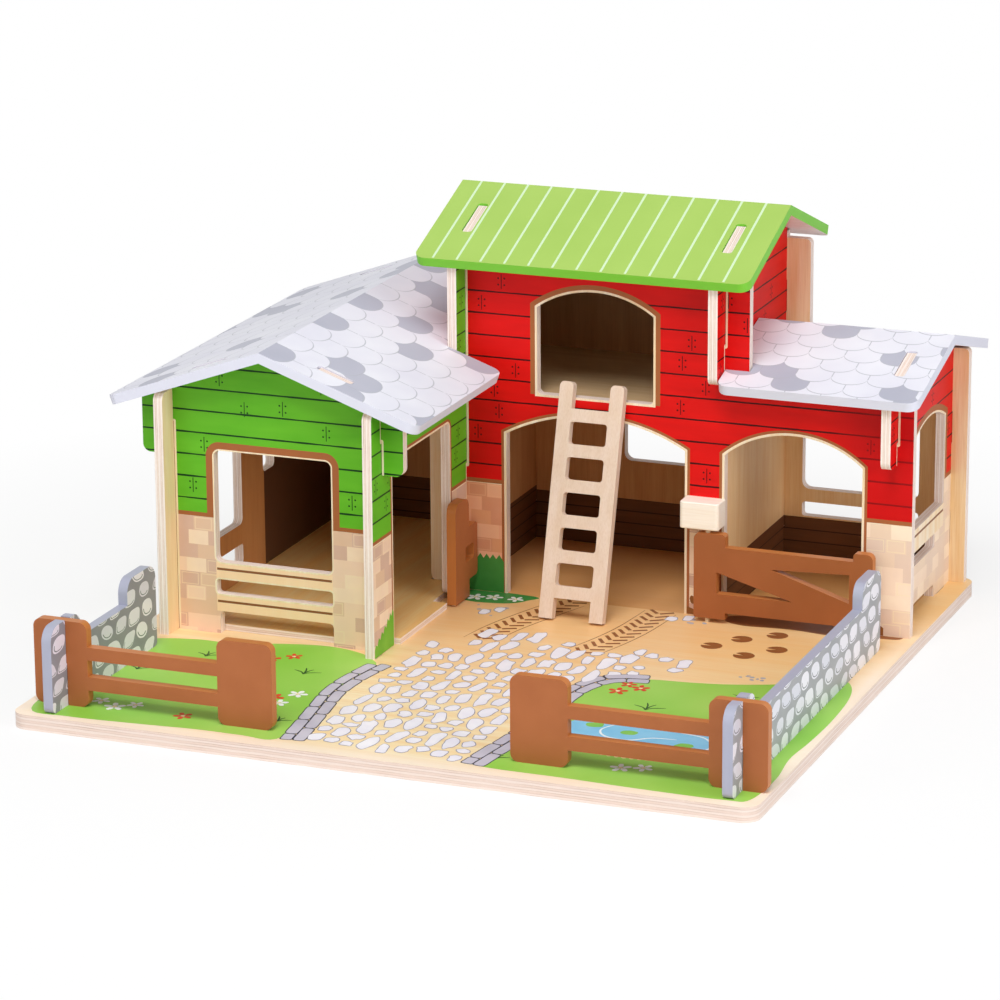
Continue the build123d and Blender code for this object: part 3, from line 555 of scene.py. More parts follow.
def tower_right():
    s = Sheet("tower_side_print", "y", TOWER_X, out=1)
    f = s.face & (s.z > LEAN_TOP)
    stable = s.face & (s.z < LOFT_SILL)
    # Painted shade on the faces inside the barn, deeper on the tower's inner side
    s.inner((s.back | stable) & (s.u > BARN_FRONT_Y), s.back * 0.8)
    s.planks(f, RED, LEAN_TOP + 1)
    s.nails(f, RED, ((301, 158), (304, 199), (341, 199), (372, 212), (398, 185), (356, 226), (386, 171)))
    s.crossing(f, BARN_FRONT_Y, UNDER, TOWER_HALVING, bare=1.2)
    s.bare(f, s.box(*TOWER_EAR), 0.4)
    s.dark_band(s.back & (s.u > BARN_INNER_Y), top=35)
    s.dark_band(s.face & (s.u > BARN_INNER_Y), top=32)
    s.done("tower_right_wall")


def right_side():
    s = Sheet("right_side_print", "y", RIGHT_X, out=1)
    f = s.face
    s.inner(s.back)
    joints = ((300, 130.5), (333, 89), (352, 144), (384, 130.5), (421, 103), (418, 158), (327, 144))
    s.wall(f, RED, BARN_BELT, joints, shift=2.0, pale=0.6)
    s.rails(f, STABLE_WINDOW, bottom=41, lines=(51.2,))
    s.rim(f, s.arch(*STABLE_WINDOW), reach=5, bare=1.2, low=BARN_BELT.low)
    s.crossing(f, BARN_FRONT_Y, UNDER, RIGHT_HALVING, bare=1.2)
    s.dark_band(s.back & (s.u > BARN_INNER_Y), top=32)
    s.done("right_side_wall")


def rear():
    s = Sheet("rear_print", "x", REAR_Y, tones=REAR_WOOD)
    inside = s.face & s.u.inside(LEFT_X, RIGHT_X)
    over_lean = (s.u > TOWER_X) & (s.z > STABLE_TOP)
    loft = s.z > LOFT_TOP
    # Painted shade on the inner face, deeper in the tower and the loft, and a painted shadow that darkens the
    # loft's back wall towards the roof
    s.inner(inside & ~over_lean, (s.u < TOWER_X) * 0.8 + loft * 0.2)
    s.over(s.face & s.u.inside(PARTY_X, TOWER_X) & loft & s.z.ramp(120, 180) & 0.6, rgb(92, 84, 66))
    s.dark_band(inside, top=32)
    green = ((46, 132), (84, 159), (112, 118), (62, 91), (136, 105))
    red = ((182, 130.5), (206, 199), (246, 158), (292, 212), (318, 103), (338, 144), (398, 130.5),
           (424, 89), (176, 89), (300, 185))
    s.wall(s.back & (s.u < PARTY_X), GREEN, BARN_BELT, green, shift=5.0)
    s.wall(s.back & (s.u > PARTY_X), RED, BARN_BELT, red, shift=5.0)
    for opening in (REAR_WINDOW, BAY_WINDOW):
        s.rim(s.back, s.box(*opening), reach=5, bare=1.0, low=BARN_BELT.low)
    s.bare(s.back, s.box(*BAY_GAP), 1.0)
    for x in (LEFT_X, PARTY_X, TOWER_X, RIGHT_X):
        for bottom, top in HIGH_TENONS if x in (PARTY_X, TOWER_X) else LOW_TENONS:
            s.crossing(s.back, x, bottom - FIT, top + FIT, bare=1.2)
    s.done("rear_wall")


# ---------------- flat sheets and small wood
def flat(name, start, thick, layers, tones, run="x"):
    """A level sheet whose figure runs along x or y."""
    f = Finish(name)
    depth = f.z - start
    a, b = (f.x, f.y) if run == "x" else (f.y, f.x)
    f.colour = grain(f, a, b, depth, tones)
    f.over(abs(f.nz) < 0.5, ply(f, depth, thick, layers, f.x, f.y))
    return f


def base_board():
    """Golden earth towards the back, lighter towards the right, partly print and partly painted shade from
    the barn; painted shade inside the barn; and a painted highlight along the front and the right margins.
    """
    f = flat("board_ply", -BOARD_T, BOARD_T, 6, BOARD_WOOD)
    top = f.nz > 0.5
    soil = f.noise(f.x * 0.012, f.y * 0.012, 4.0, 3.0)
    # Earth darker and more golden towards the back: partly print, partly painted shade from the barn
    earth_and_shade = f.mix(f.x.ramp(320, 400), rgb(242, 186, 120), rgb(255, 206, 134))
    f.over(top & (f.y.ramp(90, 260) * 0.75 + (soil - 0.5) * 0.5), earth_and_shade)
    # Painted shade on the floor inside the barn
    f.over(top & (f.y > BARN_FRONT_Y) & (f.x < RIGHT_X) & 0.55, rgb(210, 138, 68))
    # Painted highlight: paler near the front margin and the right margin, strongest towards the front
    margin = f.x.low(BOARD_W - f.x).low(f.y.low(BOARD_D - f.y))
    near = f.y.ramp(240, 40).high((f.x > 425) & f.y.ramp(370, 227))
    f.over(top & margin.ramp(20, 4) & near & 0.75, rgb(255, 240, 224))
    f.over((abs(f.nz) < 0.5) & 0.32, rgb(208, 184, 168))
    f.rough = 0.36
    f.done("base_board")


def floors():
    f = flat("cottage_floor_ply", 0, 4, 3, FLOOR_WOOD, run="y")
    f.rough = 0.4
    f.done("cottage_floor")
    f = flat("loft_floor_ply", LOFT_TOP - SHEET, SHEET, PLY_LAYERS, LOFT_WOOD)
    f.done("loft_floor")


def plain(name, tones, run, *nodes):
    """Small solid wood whose figure runs along x or z."""
    f = Finish(name)
    axes = (f.x, f.y, f.z) if run == "x" else (f.z, f.x, f.y)
    f.colour = grain(f, *axes, tones)
    f.rough = 0.55
    f.done(*nodes)


def small_wood():
    plain("ladder_beech", LADDER_WOOD, "z", "ladder")
    plain("block_beech", BLOCK_WOOD, "x", "gate_block")
    plain("pin_beech", PIN_WOOD, "z", "barn_gate_pins", "cottage_door_pin")


def brown():
    """Brown paint of the fences, the gate and the leaf, lighter along their edges; the gate's paint is darker
    as painted shade.
    """
    for node in ("left_fence", "right_fence", "barn_gate", "cottage_door"):
        f = Finish("brown_paint_" + node)
        tones = GATE_SHADE_BROWN if node == "barn_gate" else FENCE_BROWN
        f.colour = f.patches(*tones, f.x * 0.05, f.y * 0.05, f.z * 0.05)
        normal = f.nx if node == "cottage_door" else f.ny
        f.over(~(abs(normal) > 0.5) & 0.6, BROWN_EDGE)
        f.relief = f.noise(f.x * 0.9, f.y * 0.9, f.z * 0.9)
        f.rough = 0.4
        f.done(node)


def stones(node, seed, mortar, tones):
    """Rounded stones in courses on both faces of a yard wall, each moved, sheared and sized by chance."""
    f = Finish("stone_print_" + node)
    f.colour = f.patches(*mortar, f.y * 0.05, f.z * 0.05, f.x * 0.05)
    face = abs(f.nx) > 0.5
    rise = (f.z + 3.4) / STONE_H
    row = rise.floor()
    along = f.y / STONE_W + f.chance(row, seed, 2.0) * 0.4 + row * 0.5
    col = along.floor()
    a, b, c, d = [f.chance(row, col, seed + k) for k in (1, 2, 3, 4)]
    du = (along.mod(1.0) - 0.5) * STONE_W + (a - 0.5) * 2.4
    dz = (rise.mod(1.0) - 0.5) * STONE_H + (b - 0.5) * 1.5
    lean = du + dz * ((d - 0.5) * 1.3)
    square = b * 2.0 + 2.0
    shape = abs(lean / (c * 2.0 + 6.0)).power(square) + abs(dz / (a * 0.9 + 4.4)).power(square)
    f.over(face & (shape < 1.0), f.mix(a, *tones))
    shade = shape.inside(0.42, 0.58) & ((dz + lean * 0.25) < -0.9)
    f.over(face & shade, STONE_LINE)
    f.over(~face, STONE_EDGE)
    f.rough = 0.4
    f.done(node)


def stone_walls():
    stones("left_stone_wall", 0.0, (rgb(146, 142, 154), rgb(160, 156, 168)),
           (rgb(226, 218, 236), rgb(246, 236, 250)))
    stones("right_stone_wall", 40.0, (rgb(156, 160, 166), rgb(172, 174, 180)),
           (rgb(218, 220, 232), rgb(240, 240, 248)))


# ---------------- roofs
def tiles(f, a, s, side, kind):
    """Fish-scale tiles on the upper face: a runs along the ridge, s down the slope from it."""
    fall = s - kind.down + kind.tip
    row = (fall / kind.deep).floor()
    t = fall - row * kind.deep
    body = (a - kind.along) / kind.wide - row * 0.5
    tail = body + 0.5
    off = ((tail + 0.5).mod(1.0) - 0.5) * 2.0
    reach = (1.0 - off * off).high(0.0).root() * kind.tip
    is_tail = t < reach
    col = (tail + 0.5).floor() * is_tail + (body + 0.5).floor() * ~is_tail
    pick = f.chance(row - is_tail, col, side * 7 + kind.along)
    soft = f.noise(a * 0.03, s * 0.03, kind.along)
    colour = f.mix((soft - 0.3) * 1.6, *PALE_TILE)
    colour = f.mix(pick > kind.pale, colour, f.mix(soft, *DARK_TILE))
    curve = abs(t - reach) < TILE_LINE_HALF
    joint = (abs((body + 0.5).mod(1.0) - 0.5) * kind.wide > kind.wide / 2 - 0.36) & ~is_tail
    colour = f.mix((curve | joint) * 0.75, colour, TILE_LINE)
    f.over(f.nz > 0.5, colour)


def panel(name, edge):
    """Roof panels of pale wood with painted edges."""
    f = Finish(name)
    f.colour = grain(f, f.x, f.y, f.z, ROOF_WOOD)
    f.relief = None
    f.rough = 0.36
    f.over(abs(f.nz) < 0.5, edge)
    return f


def cottage_roof():
    f = panel("cottage_tiles", TILE_EDGE)
    f.over((abs(f.nx) > 0.6) & (f.nz < 0.3), TILE_EDGE)
    down = abs(f.x - COTTAGE_MID) / math.cos(COTTAGE_SLOPE)
    tiles(f, f.y, down, f.x > COTTAGE_MID, COTTAGE_TILES)
    f.done("cottage_roof_left", "cottage_roof_right")


def lean_to_roof():
    f = panel("lean_to_tiles", TILE_EDGE)
    down = abs(f.y - BARN_MID) / math.cos(LEAN_SLOPE)
    tiles(f, f.x, down, f.y > BARN_MID, LEAN_TILES)
    f.done("lean_to_roof_front", "lean_to_roof_rear")


def tower_roof():
    """Green, with pale stripes down the slope that stop short of the edges."""
    pitch, first, half = 15.5, 145.8, 0.75
    f = panel("green_roof_print", rgb(126, 202, 62))
    top = f.nz > 0.5
    f.over(top, f.patches(rgb(164, 200, 92), rgb(174, 208, 102), f.x * 0.02, f.y * 0.02))
    stripe = abs((f.x - first).mod(pitch) - pitch / 2) > pitch / 2 - half
    f.over(top & stripe & f.x.inside(140, 338) & f.y.near(BARN_MID, 81.5), rgb(212, 238, 196))
    f.done("tower_roof_front", "tower_roof_rear")


# ---------------- prints on the board and the walls' feet
def ink(name, dark, light, scale):
    f = Finish(name)
    f.colour = f.patches(dark, light, f.x * scale, f.y * scale, f.z * scale, contrast=1.8)
    f.rough = 0.42
    f.done()
    return f.mat


def spot(*place):
    """A place in the drawings as a point in metres."""
    return Vector([(p - c) / 1000 for p, c in zip(place, CORNER)])


class Print:
    """Thin flat shapes of one ink. place maps a shape's two lengths and its height to the drawings' lengths.

    The heights are under a fifth of a millimetre, and a shape that lies on another has the greater one.
    """

    body = "house"            # the board and the walls move as one

    def __init__(self, name, dark, light, place=None, slot="board_print", scale=0.06):
        self.name, self.slot = name, slot
        self.mat = ink(name, dark, light, scale)
        self.place = place or (lambda a, b, h: (a, b, h))
        self.points, self.faces = [], []

    def add(self, shape, h):
        n = len(self.points)
        self.points += [spot(*self.place(a, b, h)) for a, b in shape]
        self.faces.append(tuple(range(n, n + len(shape))))

    def bar(self, start, end, w0, w1, h):
        """A straight stroke, w0 wide to each side at its start and w1 at its end."""
        (a0, b0), (a1, b1) = start, end
        size = math.dist(start, end) or 1.0
        na, nb = -(b1 - b0) / size, (a1 - a0) / size
        self.add([(a0 + na * w0, b0 + nb * w0), (a1 + na * w1, b1 + nb * w1),
                  (a1 - na * w1, b1 - nb * w1), (a0 - na * w0, b0 - nb * w0)], h)

    def line(self, path, width, h):
        """A stroke along path that thins towards both ends."""
        last = len(path) - 1
        halves = [width / 2 * (0.4 + 0.6 * math.sin(math.pi * i / last)) for i in range(last + 1)]
        for i in range(last):
            self.bar(path[i], path[i + 1], halves[i], halves[i + 1], h)

    def make(self):
        mesh = bpy.data.meshes.new(self.name)
        mesh.from_pydata(self.points, [], self.faces)
        mesh.materials.append(self.mat)
        obj = bpy.data.objects.new(self.name, mesh)
        bpy.context.collection.objects.link(obj)
        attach(obj, self.body)


def spline(p0, p1, p2, p3, t):
    """Value of a smooth curve through four values, at the share t from the second to the third."""
    bend = 2 * p0 - 5 * p1 + 4 * p2 - p3
    twist = 3 * p1 - p0 - 3 * p2 + p3
    return 0.5 * (2 * p1 + (p2 - p0) * t + bend * t * t + twist * t ** 3)


def smooth(points, steps=6, closed=True):
    """A rounded curve through the points."""
    n = len(points)
    out = []
    for i in range(n if closed else n - 1):
        near = [points[k % n if closed else min(max(k, 0), n - 1)] for k in range(i - 1, i + 3)]
        for j in range(steps):
            out.append(tuple(spline(*values, j / steps) for values in zip(*near)))
    return out if closed else out + [points[-1]]


def inset(shape, d):
    """The shape with each point moved by d towards the middle."""
    ca = sum(p[0] for p in shape) / len(shape)
    cb = sum(p[1] for p in shape) / len(shape)
    out = []
    for a, b in shape:
        size = math.hypot(a - ca, b - cb) or 1.0
        out.append((a - (a - ca) / size * d, b - (b - cb) / size * d))
    return out


def pebble(dice, a, b, half_a, half_b, turn=0.0, rough=0.12, corners=9):
    """Irregular rounded outline."""
    square = 2.8
    rim = []
    for k in range(corners):
        t = 2 * math.pi * (k + dice.uniform(-0.25, 0.25)) / corners
        ca, cb = math.cos(t), math.sin(t)
        r = (abs(ca) ** square + abs(cb) ** square) ** (-1 / square) * dice.uniform(1 - rough, 1 + rough)
        da, db = half_a * r * ca, half_b * r * cb
        rim.append((a + da * math.cos(turn) - db * math.sin(turn),
                    b + da * math.sin(turn) + db * math.cos(turn)))
    return smooth(rim, 3)


def path_length(path):
    return sum(math.dist(p, q) for p, q in zip(path, path[1:]))


def walk(path, d):
    """Point and direction at distance d along path."""
    for i in range(len(path) - 1):
        (a0, b0), (a1, b1) = path[i], path[i + 1]
        size = math.hypot(a1 - a0, b1 - b0)
        if d <= size or i == len(path) - 2:
            t = d / size
            return a0 + (a1 - a0) * t, b0 + (b1 - b0) * t, (a1 - a0) / size, (b1 - b0) / size
        d -= size


def across(path, b, outside):
    """First length of path where its second is b."""
    for (a0, b0), (a1, b1) in zip(path, path[1:]):
        if b0 <= b <= b1:
            return a0 + (a1 - a0) * (b - b0) / (b1 - b0)
    return outside


def slab(path, d0, d1, mid, half):
    """Block with round corners lying along path."""
    left, right = [], []
    for part in (0.0, 0.1, 0.5, 0.9, 1.0):
        a, b, ta, tb = walk(path, d0 + (d1 - d0) * part)
        w = half * (0.62 if part in (0.0, 1.0) else 1.0)
        left.append((a - tb * (mid - w), b + ta * (mid - w)))
        right.append((a - tb * (mid + w), b + ta * (mid + w)))
    return smooth(left + right[::-1], 3)


def kerb(fill, rim, path, dice, width=7.6, stone=22.0):
    """Two courses of edging stones along a path."""
    total = path_length(path)
    for side, start in ((-1, stone), (1, stone * 0.45)):
        d, size = 0.0, start
        while d < total - 4:
            end = min(d + size * dice.uniform(0.86, 1.14), total)
            wide = width * dice.uniform(0.92, 1.04) / 2
            rim.add(slab(path, d + 0.1, end - 0.1, side * width / 2, wide + 0.15), 0.07)
            fill.add(slab(path, d + 0.7, end - 0.7, side * width / 2, wide - 0.5), 0.1)
            d, size = end, stone


def grass():
    lawns = Print("yard_grass", rgb(134, 199, 66), rgb(184, 223, 114), scale=0.011)
    lawns.add(smooth([(8, 12), (34, 6.5), (78, 9), (112, 12), (140, 12), (162, 13), (165, 50), (160, 88),
                      (160, 122), (164, 150), (158, 161), (146, 170), (124, 175), (96, 170), (70, 160),
                      (46, 160), (20, 153), (6, 140), (5, 70)]), 0.04)
    lawns.add(smooth([(284, 12), (337, 10), (387, 8), (430, 8), (443, 13), (446, 48), (443, 82), (445, 112),
                      (446, 150), (444, 190), (438, 214), (428, 220), (400, 203), (372, 192), (348, 187),
                      (324, 184), (306, 176), (296, 158), (292, 110), (288, 60), (284, 28)]), 0.04)
    lawns.make()
    bush = Print("yard_bush", rgb(60, 136, 62), rgb(80, 158, 80))
    bush.add(smooth([(160, 309), (160.5, 292), (170, 287), (184, 288), (196, 292), (203, 300),
                     (205, 309)], 5), 0.05)
    bush.make()


LEFT_KERB = smooth([(171, 14), (168, 40), (164, 68), (160, 96), (160, 118), (163, 140), (166, 156)],
                   closed=False)
RIGHT_KERB = smooth([(281, 12), (284, 36), (288, 66), (290, 100), (289, 134), (293, 160), (304, 178),
                     (325, 184)], closed=False)


def kerbs():
    dice = random.Random(11)
    rim = Print("yard_edging_joints", rgb(44, 46, 58), rgb(64, 66, 80))
    fill = Print("yard_edging_stones", rgb(190, 186, 202), rgb(212, 208, 220))
    kerb(fill, rim, LEFT_KERB, dice)
    kerb(fill, rim, RIGHT_KERB, dice)
    rim.make()
    fill.make()


def cobbles():
    """Stones in columns between the two kerbs, which thin out towards the barn, and a few loose ones."""
    first, pitch, columns = 170, 10.9, 17
    front, back = 11, 246
    kerb_gap = 7.4
    dice = random.Random(5)
    rim = Print("yard_cobble_edges", rgb(140, 138, 160), rgb(166, 163, 184))
    fill = Print("yard_cobbles", rgb(236, 234, 246), rgb(252, 250, 254))
    placed = []

    def put(a, b, ha, hb):
        if any(abs(a - c) < ha + hc - 1 and abs(b - d) < hb + hd - 1 for c, d, hc, hd in placed):
            return
        lift = 0.003 * (len(placed) % 5)
        placed.append((a, b, ha, hb))
        shape = pebble(dice, a, b, ha, hb, dice.uniform(-0.16, 0.16), 0.19, dice.choice((8, 9, 10)))
        rim.add(shape, 0.05 + lift)
        fill.add(inset(shape, 0.6), 0.09 + lift)

    for column in range(columns):
        y = front + dice.uniform(0, 12)
        while y < back:
            size = dice.choice((dice.uniform(7, 12), dice.uniform(13, 22)))
            mid = y + size / 2
            x = first + column * pitch + dice.uniform(-0.7, 0.7)
            left = across(LEFT_KERB, mid, 168 if mid > 50 else 172) + kerb_gap
            right = across(RIGHT_KERB, mid, 350 if mid > 50 else 281) - kerb_gap
            thin = mid > 196 and dice.random() < (mid - 190) / 52
            if left + 4 < x < right - 4 and x < 296 + max(0.0, mid - 168) * 1.3 and not thin:
                put(x, mid, dice.uniform(3.7, 4.9), size / 2)
            y += size + dice.uniform(2.0, 3.8)
    for a, b in ((186, 270), (193, 277), (302, 229), (321, 222), (333, 205), (298, 297), (308, 301)):
        put(a, b, dice.uniform(3.2, 4.4), dice.uniform(4, 6))
    rim.make()
    fill.make()
    gravel(dice)


def gravel(dice):
    chips = Print("yard_gravel", rgb(164, 160, 170), rgb(196, 192, 202))
    for a0, a1, b0, b1, count in ((372, 392, 203, 210, 9), (176, 202, 262, 282, 12), (306, 322, 290, 302, 8)):
        for _ in range(count):
            r = dice.uniform(0.7, 1.6)
            a, b = dice.uniform(a0, a1), dice.uniform(b0, b1)
            chips.add(pebble(dice, a, b, r, r, 0, 0.2, 6), 0.06 + dice.uniform(0, 0.01))
    chips.make()


def flowers():
    red = Print("flowers_red", rgb(212, 50, 30), rgb(232, 72, 44))
    white = Print("flowers_white", rgb(238, 240, 236), rgb(252, 252, 250))
    heart = Print("flower_hearts", rgb(236, 214, 160), rgb(250, 236, 190))
    dice = random.Random(3)

    def bloom(sheet, a, b, size):
        size *= 1.3
        turn = dice.uniform(0, 2)
        for k in range(5):
            t = turn + 2 * math.pi * k / 5
            petal = pebble(dice, size * 0.62 * math.cos(t) + a, size * 0.62 * math.sin(t) + b,
                           size * 0.4, size * 0.25, t, 0.05, 8)
            sheet.add(petal, 0.12 + 0.004 * k)
        heart.add(pebble(dice, a, b, size * 0.22, size * 0.22, 0, 0.05, 8), 0.16)

    for a, b, size in ((101, 142, 4.4), (112, 150, 4.0), (131, 78, 5.0), (96, 30, 4.4), (314, 158, 4.6),
                       (325, 167, 4.2), (316, 171, 3.8)):
        bloom(red, a, b, size)
    for a, b, size in ((40, 38, 4.2), (52, 31, 5.0), (62, 38, 4.0), (142, 88, 4.6), (138, 70, 4.4),
                       (360, 36, 4.8), (372, 40, 4.4), (170, 296, 4.6), (181, 299, 4.4), (195, 300, 4.0)):
        bloom(white, a, b, size)
    for sheet in (red, white, heart):
        sheet.make()


def tufts():
    """Tufts of four blades of grass."""
    blades = Print("grass_tufts", rgb(18, 66, 26), rgb(30, 86, 36))
    for a, b, k in ((130, 122, 1.0), (62, 132, 0.9), (150, 40, 0.8), (340, 132, 1.1), (386, 170, 0.9),
                    (290, 26, 0.7), (418, 62, 0.9), (34, 96, 0.9)):
        for i, (da, db) in enumerate(((-8, 6), (-2.5, 11), (3, 9.5), (9.5, 6))):
            blade = smooth([(a, b), (a + da * k * 0.3, b + db * k * 0.6), (a + da * k, b + db * k)], 4, False)
            blades.line(blade, 1.0, 0.08 + 0.004 * i)
    blades.make()


def pond():
    dice = random.Random(8)
    shore = Print("pond_shore", rgb(236, 222, 150), rgb(248, 238, 180))
    water = Print("pond_water", rgb(122, 194, 232), rgb(152, 212, 242))
    foam = Print("pond_ripples", rgb(240, 248, 252), rgb(252, 254, 255))
    pads = Print("pond_leaves", rgb(120, 190, 80), rgb(146, 208, 96))
    outline = smooth([(304, 92), (310, 70), (330, 58), (356, 54), (382, 58), (402, 70), (404, 90), (392, 106),
                      (366, 112), (340, 108), (318, 110)])
    for i, (a, b) in enumerate(outline):
        if b < 92:
            shore.add(pebble(dice, a, b - 1.8, 1.5, 1.3, 0, 0.1, 6), 0.06 + 0.004 * (i % 3))
    water.add(outline, 0.07)
    for ripple in (((308, 96), (309, 84), (316, 74), (328, 68)),
                   ((334, 104), (328, 92), (334, 82), (348, 80), (360, 88), (374, 90)),
                   ((352, 72), (370, 66), (388, 72), (396, 84), (388, 98), (370, 102))):
        foam.line(smooth(ripple, closed=False), 1.5, 0.1)
    for a, b, r in ((322, 98, 5.2), (345, 92, 4.8), (381, 82, 5.4), (366, 60.5, 3.4)):
        pads.add(pebble(dice, a, b, r, r * 0.7, 0.2, 0.08), 0.12)
    for sheet in (shore, water, foam, pads):
        sheet.make()


def wheel_track(mud, path):
    """Slanting bars left and right of path, between two thin lines."""
    curve = smooth(path, 8, False)
    total = path_length(curve)
    d = 3.0
    while d < total:
        a, b, ta, tb = walk(curve, d)
        for side in (-1, 1):
            start = a - tb * side * 0.9, b + ta * side * 0.9
            end = a - tb * side * 7.8 + ta * 5.6, b + ta * side * 7.8 + tb * 5.6
            mud.bar(start, end, 1.15, 1.15, 0.06 if side > 0 else 0.064)
        d += 7.4
    spots = [walk(curve, total * k / 9) for k in range(10)]
    for side in (-10.5, 10.5):
        mud.line([(a - tb * side, b + ta * side) for a, b, ta, tb in spots], 0.7, 0.06)


def hoof(mud, a, b, turn):
    """A round print with a notch."""
    angles = [math.radians(13 + 334 * k / 16) + turn for k in range(17)]
    notch = a + 0.4 * math.cos(turn), b + 0.4 * math.sin(turn)
    mud.add([(a + 6.6 * math.cos(t), b + 6.2 * math.sin(t)) for t in angles] + [notch], 0.06)


def tracks():
    mud = Print("yard_tracks", rgb(140, 84, 44), rgb(162, 100, 56))
    wheel_track(mud, [(203, 218), (208, 244), (217, 272), (230, 306)])
    wheel_track(mud, [(268, 214), (277, 240), (284, 270), (288, 306)])
    for a, b, turn in ((338, 256, 3.0), (351, 274, 3.3), (362, 245, 2.9), (377, 262, 3.2), (369, 288, 3.05)):
        hoof(mud, a, b, turn)
    mud.add(smooth([(330, 314), (331, 304), (345, 299), (372, 302), (398, 299), (424, 303), (440, 306),
                    (438, 316), (420, 322), (380, 318), (352, 322)]), 0.05)
    mud.make()


def wall_feet():
    """Grass, a bush and mud printed at the foot of the walls round the yard's inner corner."""
    def on_party(a, b, h):
        return PARTY_X + SHEET + h, a, b

    def on_barn(a, b, h):
        return a, BARN_FRONT_Y - h, b

    tuft = Print("wall_foot_grass", rgb(104, 178, 40), rgb(134, 196, 66), place=on_party, slot="party_print")
    tuft.add([(161.8, 0.2), (190.9, 0.2), (190.9, 21), (189, 23.5), (187.4, 19.5), (185.4, 22), (183.8, 17.5),
              (181.6, 19.5), (179.6, 14.5), (177.2, 16.5), (175, 12), (172.6, 14), (170.4, 9.5), (168, 11.5),
              (165.6, 7), (163.2, 8.5), (161.8, 5)], 0.05)
    tuft.make()
    bush = Print("wall_foot_bush", rgb(64, 138, 60), rgb(84, 160, 78), place=on_barn, slot="barn_print")
    leaves = [(182.6 - k * 2.1, 24.5 if k % 2 else 21.5) for k in range(11)]
    bush.add([(160, 0.2), (183.6, 0.2), (183.6, 20)] + leaves, 0.05)
    bush.make()
    dice = random.Random(2)
    splash = Print("wall_foot_mud", rgb(134, 82, 40), rgb(158, 98, 52), place=on_barn, slot="barn_print")
    splash.add([(416.3, 0.2), (428.8, 0.2), (428.8, 5), (426, 6.8), (422, 5.4), (419, 8.2), (416.3, 7)], 0.05)
    splash.add(pebble(dice, 424.5, 15.5, 2.4, 1.8), 0.05)
    splash.add(pebble(dice, 307.5, 9.5, 2.0, 2.4), 0.05)
    splash.add([(303.8, 0.2), (325, 0.2), (325, 4), (320, 3), (314, 5), (308, 3.6), (303.8, 5)], 0.05)
    splash.make()


# ---------------- camera, light and floor, in metres
CAMERA_AT = Vector((0.91055, -2.31962, 0.83471))
CAMERA_TURN, CAMERA_DROP, CAMERA_ROLL = math.radians(21.61), math.radians(16.46), math.radians(-0.39)
CAMERA_LENS, CAMERA_SENSOR = 157.3, 36.0
WHITE = (1, 1, 1, 1)
WORLD_LIGHT = 0.3
FLOOR_HALF = 6.0
FLOOR_GREY = (0.93, 0.93, 0.93, 1)
FADE_START, FADE_END, FADE_LEAST = 0.28, 0.6, 0.7


def place_camera():
    data = bpy.data.cameras.new("camera")
    data.lens = CAMERA_LENS
    data.sensor_width = CAMERA_SENSOR
    data.clip_start = 0.1
    data.clip_end = 30.0
    cam = bpy.data.objects.new("camera", data)
    bpy.context.collection.objects.link(cam)
    turn, drop, roll = CAMERA_TURN, CAMERA_DROP, CAMERA_ROLL
    forward = Vector((-math.sin(turn) * math.cos(drop), math.cos(turn) * math.cos(drop), -math.sin(drop)))
    right = Vector((math.cos(turn), math.sin(turn), 0.0))
    up = right.cross(forward)
    x = right * math.cos(roll) + up * math.sin(roll)
    y = up * math.cos(roll) - right * math.sin(roll)
    axes = Matrix((x, y, -forward)).transposed().to_4x4()
    cam.matrix_world = Matrix.Translation(CAMERA_AT) @ axes
    bpy.context.scene.camera = cam


def area(name, place, look, size, power):
    data = bpy.data.lights.new(name, "AREA")
    data.shape = "SQUARE"
    data.size = size
    data.energy = power
    lamp = bpy.data.objects.new(name, data)
    bpy.context.collection.objects.link(lamp)
    lamp.location = place
    lamp.rotation_mode = "QUATERNION"
    lamp.rotation_quaternion = (Vector(look) - Vector(place)).to_track_quat("-Z", "Y")


def lamps():
    area("key", (0.2, -1.4, 2.4), (0, 0, 0.08), 1.2, 47)
    area("fill_right", (2.3, -0.9, 1.0), (0, 0, 0.1), 1.4, 25)
    area("fill_left", (-1.6, -2.2, 1.1), (0, 0, 0.1), 1.4, 10)


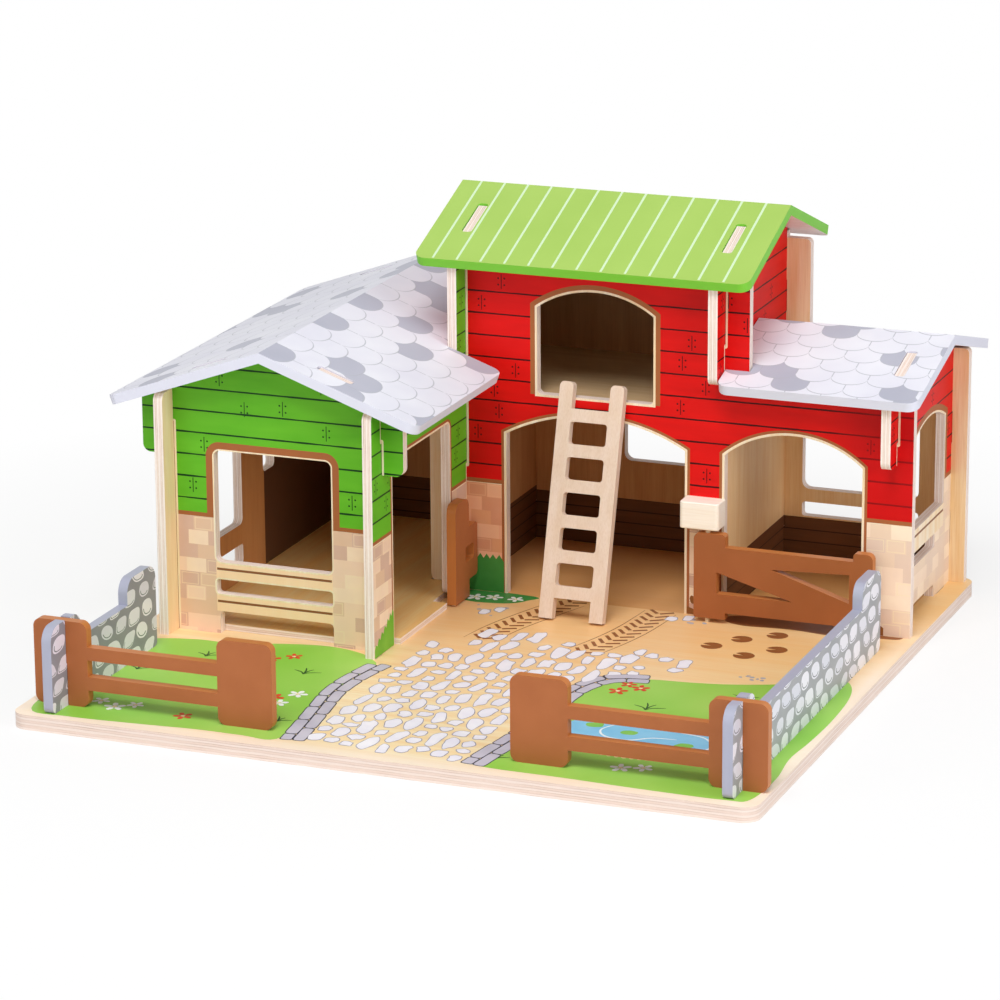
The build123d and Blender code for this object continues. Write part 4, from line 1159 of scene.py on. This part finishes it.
def studio():
    """White where it is seen, and a soft light on the toy."""
    world = bpy.data.worlds.new("studio")
    bpy.context.scene.world = world
    world.use_nodes = True
    g = Graph(world.node_tree)
    rays = g.node("LightPath").outputs
    seen = Num(g, rays["Is Camera Ray"])
    for ray in ("Is Glossy Ray", "Is Transmission Ray"):
        seen = seen | Num(g, rays[ray])
    soft = g.node("Background", {"Color": WHITE, "Strength": WORLD_LIGHT})
    white = g.node("Background", {"Color": WHITE, "Strength": 1.0})
    mix = g.node("MixShader", {0: seen, 1: soft.outputs[0], 2: white.outputs[0]})
    g.node("OutputWorld", {"Surface": mix.outputs[0]})


def floor():
    """Pale floor that fades to white away from the toy and keeps its shadow."""
    mesh = bpy.data.meshes.new("floor")
    s = FLOOR_HALF
    mesh.from_pydata([(-s, -s, 0), (s, -s, 0), (s, s, 0), (-s, s, 0)], [], [(0, 1, 2, 3)])
    obj = bpy.data.objects.new("floor", mesh)
    bpy.context.collection.objects.link(obj)
    mat = bpy.data.materials.new("floor")
    mat.use_nodes = True
    g = Graph(mat.node_tree)
    own = g.node("TexCoord").outputs["Object"]
    far = g.node("VectorMath", {0: own}, operation="LENGTH").outputs["Value"]
    fade = g.node("MapRange", {"Value": far, "From Min": FADE_START, "From Max": FADE_END,
                               "To Min": FADE_LEAST})
    seen = Num(g, fade.outputs[0]) * Num(g, g.node("LightPath").outputs["Is Camera Ray"])
    paint = g.node("BsdfPrincipled", {"Base Color": FLOOR_GREY, "Roughness": 0.9})
    white = g.node("Emission")
    mix = g.node("MixShader", {0: seen, 1: paint.outputs[0], 2: white.outputs[0]})
    g.node("OutputMaterial", {"Surface": mix.outputs[0]})
    mesh.materials.append(mat)


# ---------------- the scene
cottage_front()
cottage_left()
party()
barn_front()
tower_right()
right_side()
rear()
base_board()
floors()
small_wood()
brown()
stone_walls()
cottage_roof()
lean_to_roof()
tower_roof()
grass()
kerbs()
cobbles()
flowers()
tufts()
pond()
tracks()
wall_feet()
place_camera()
lamps()
studio()
floor()
bpy.context.scene.view_settings.view_transform = "Standard"
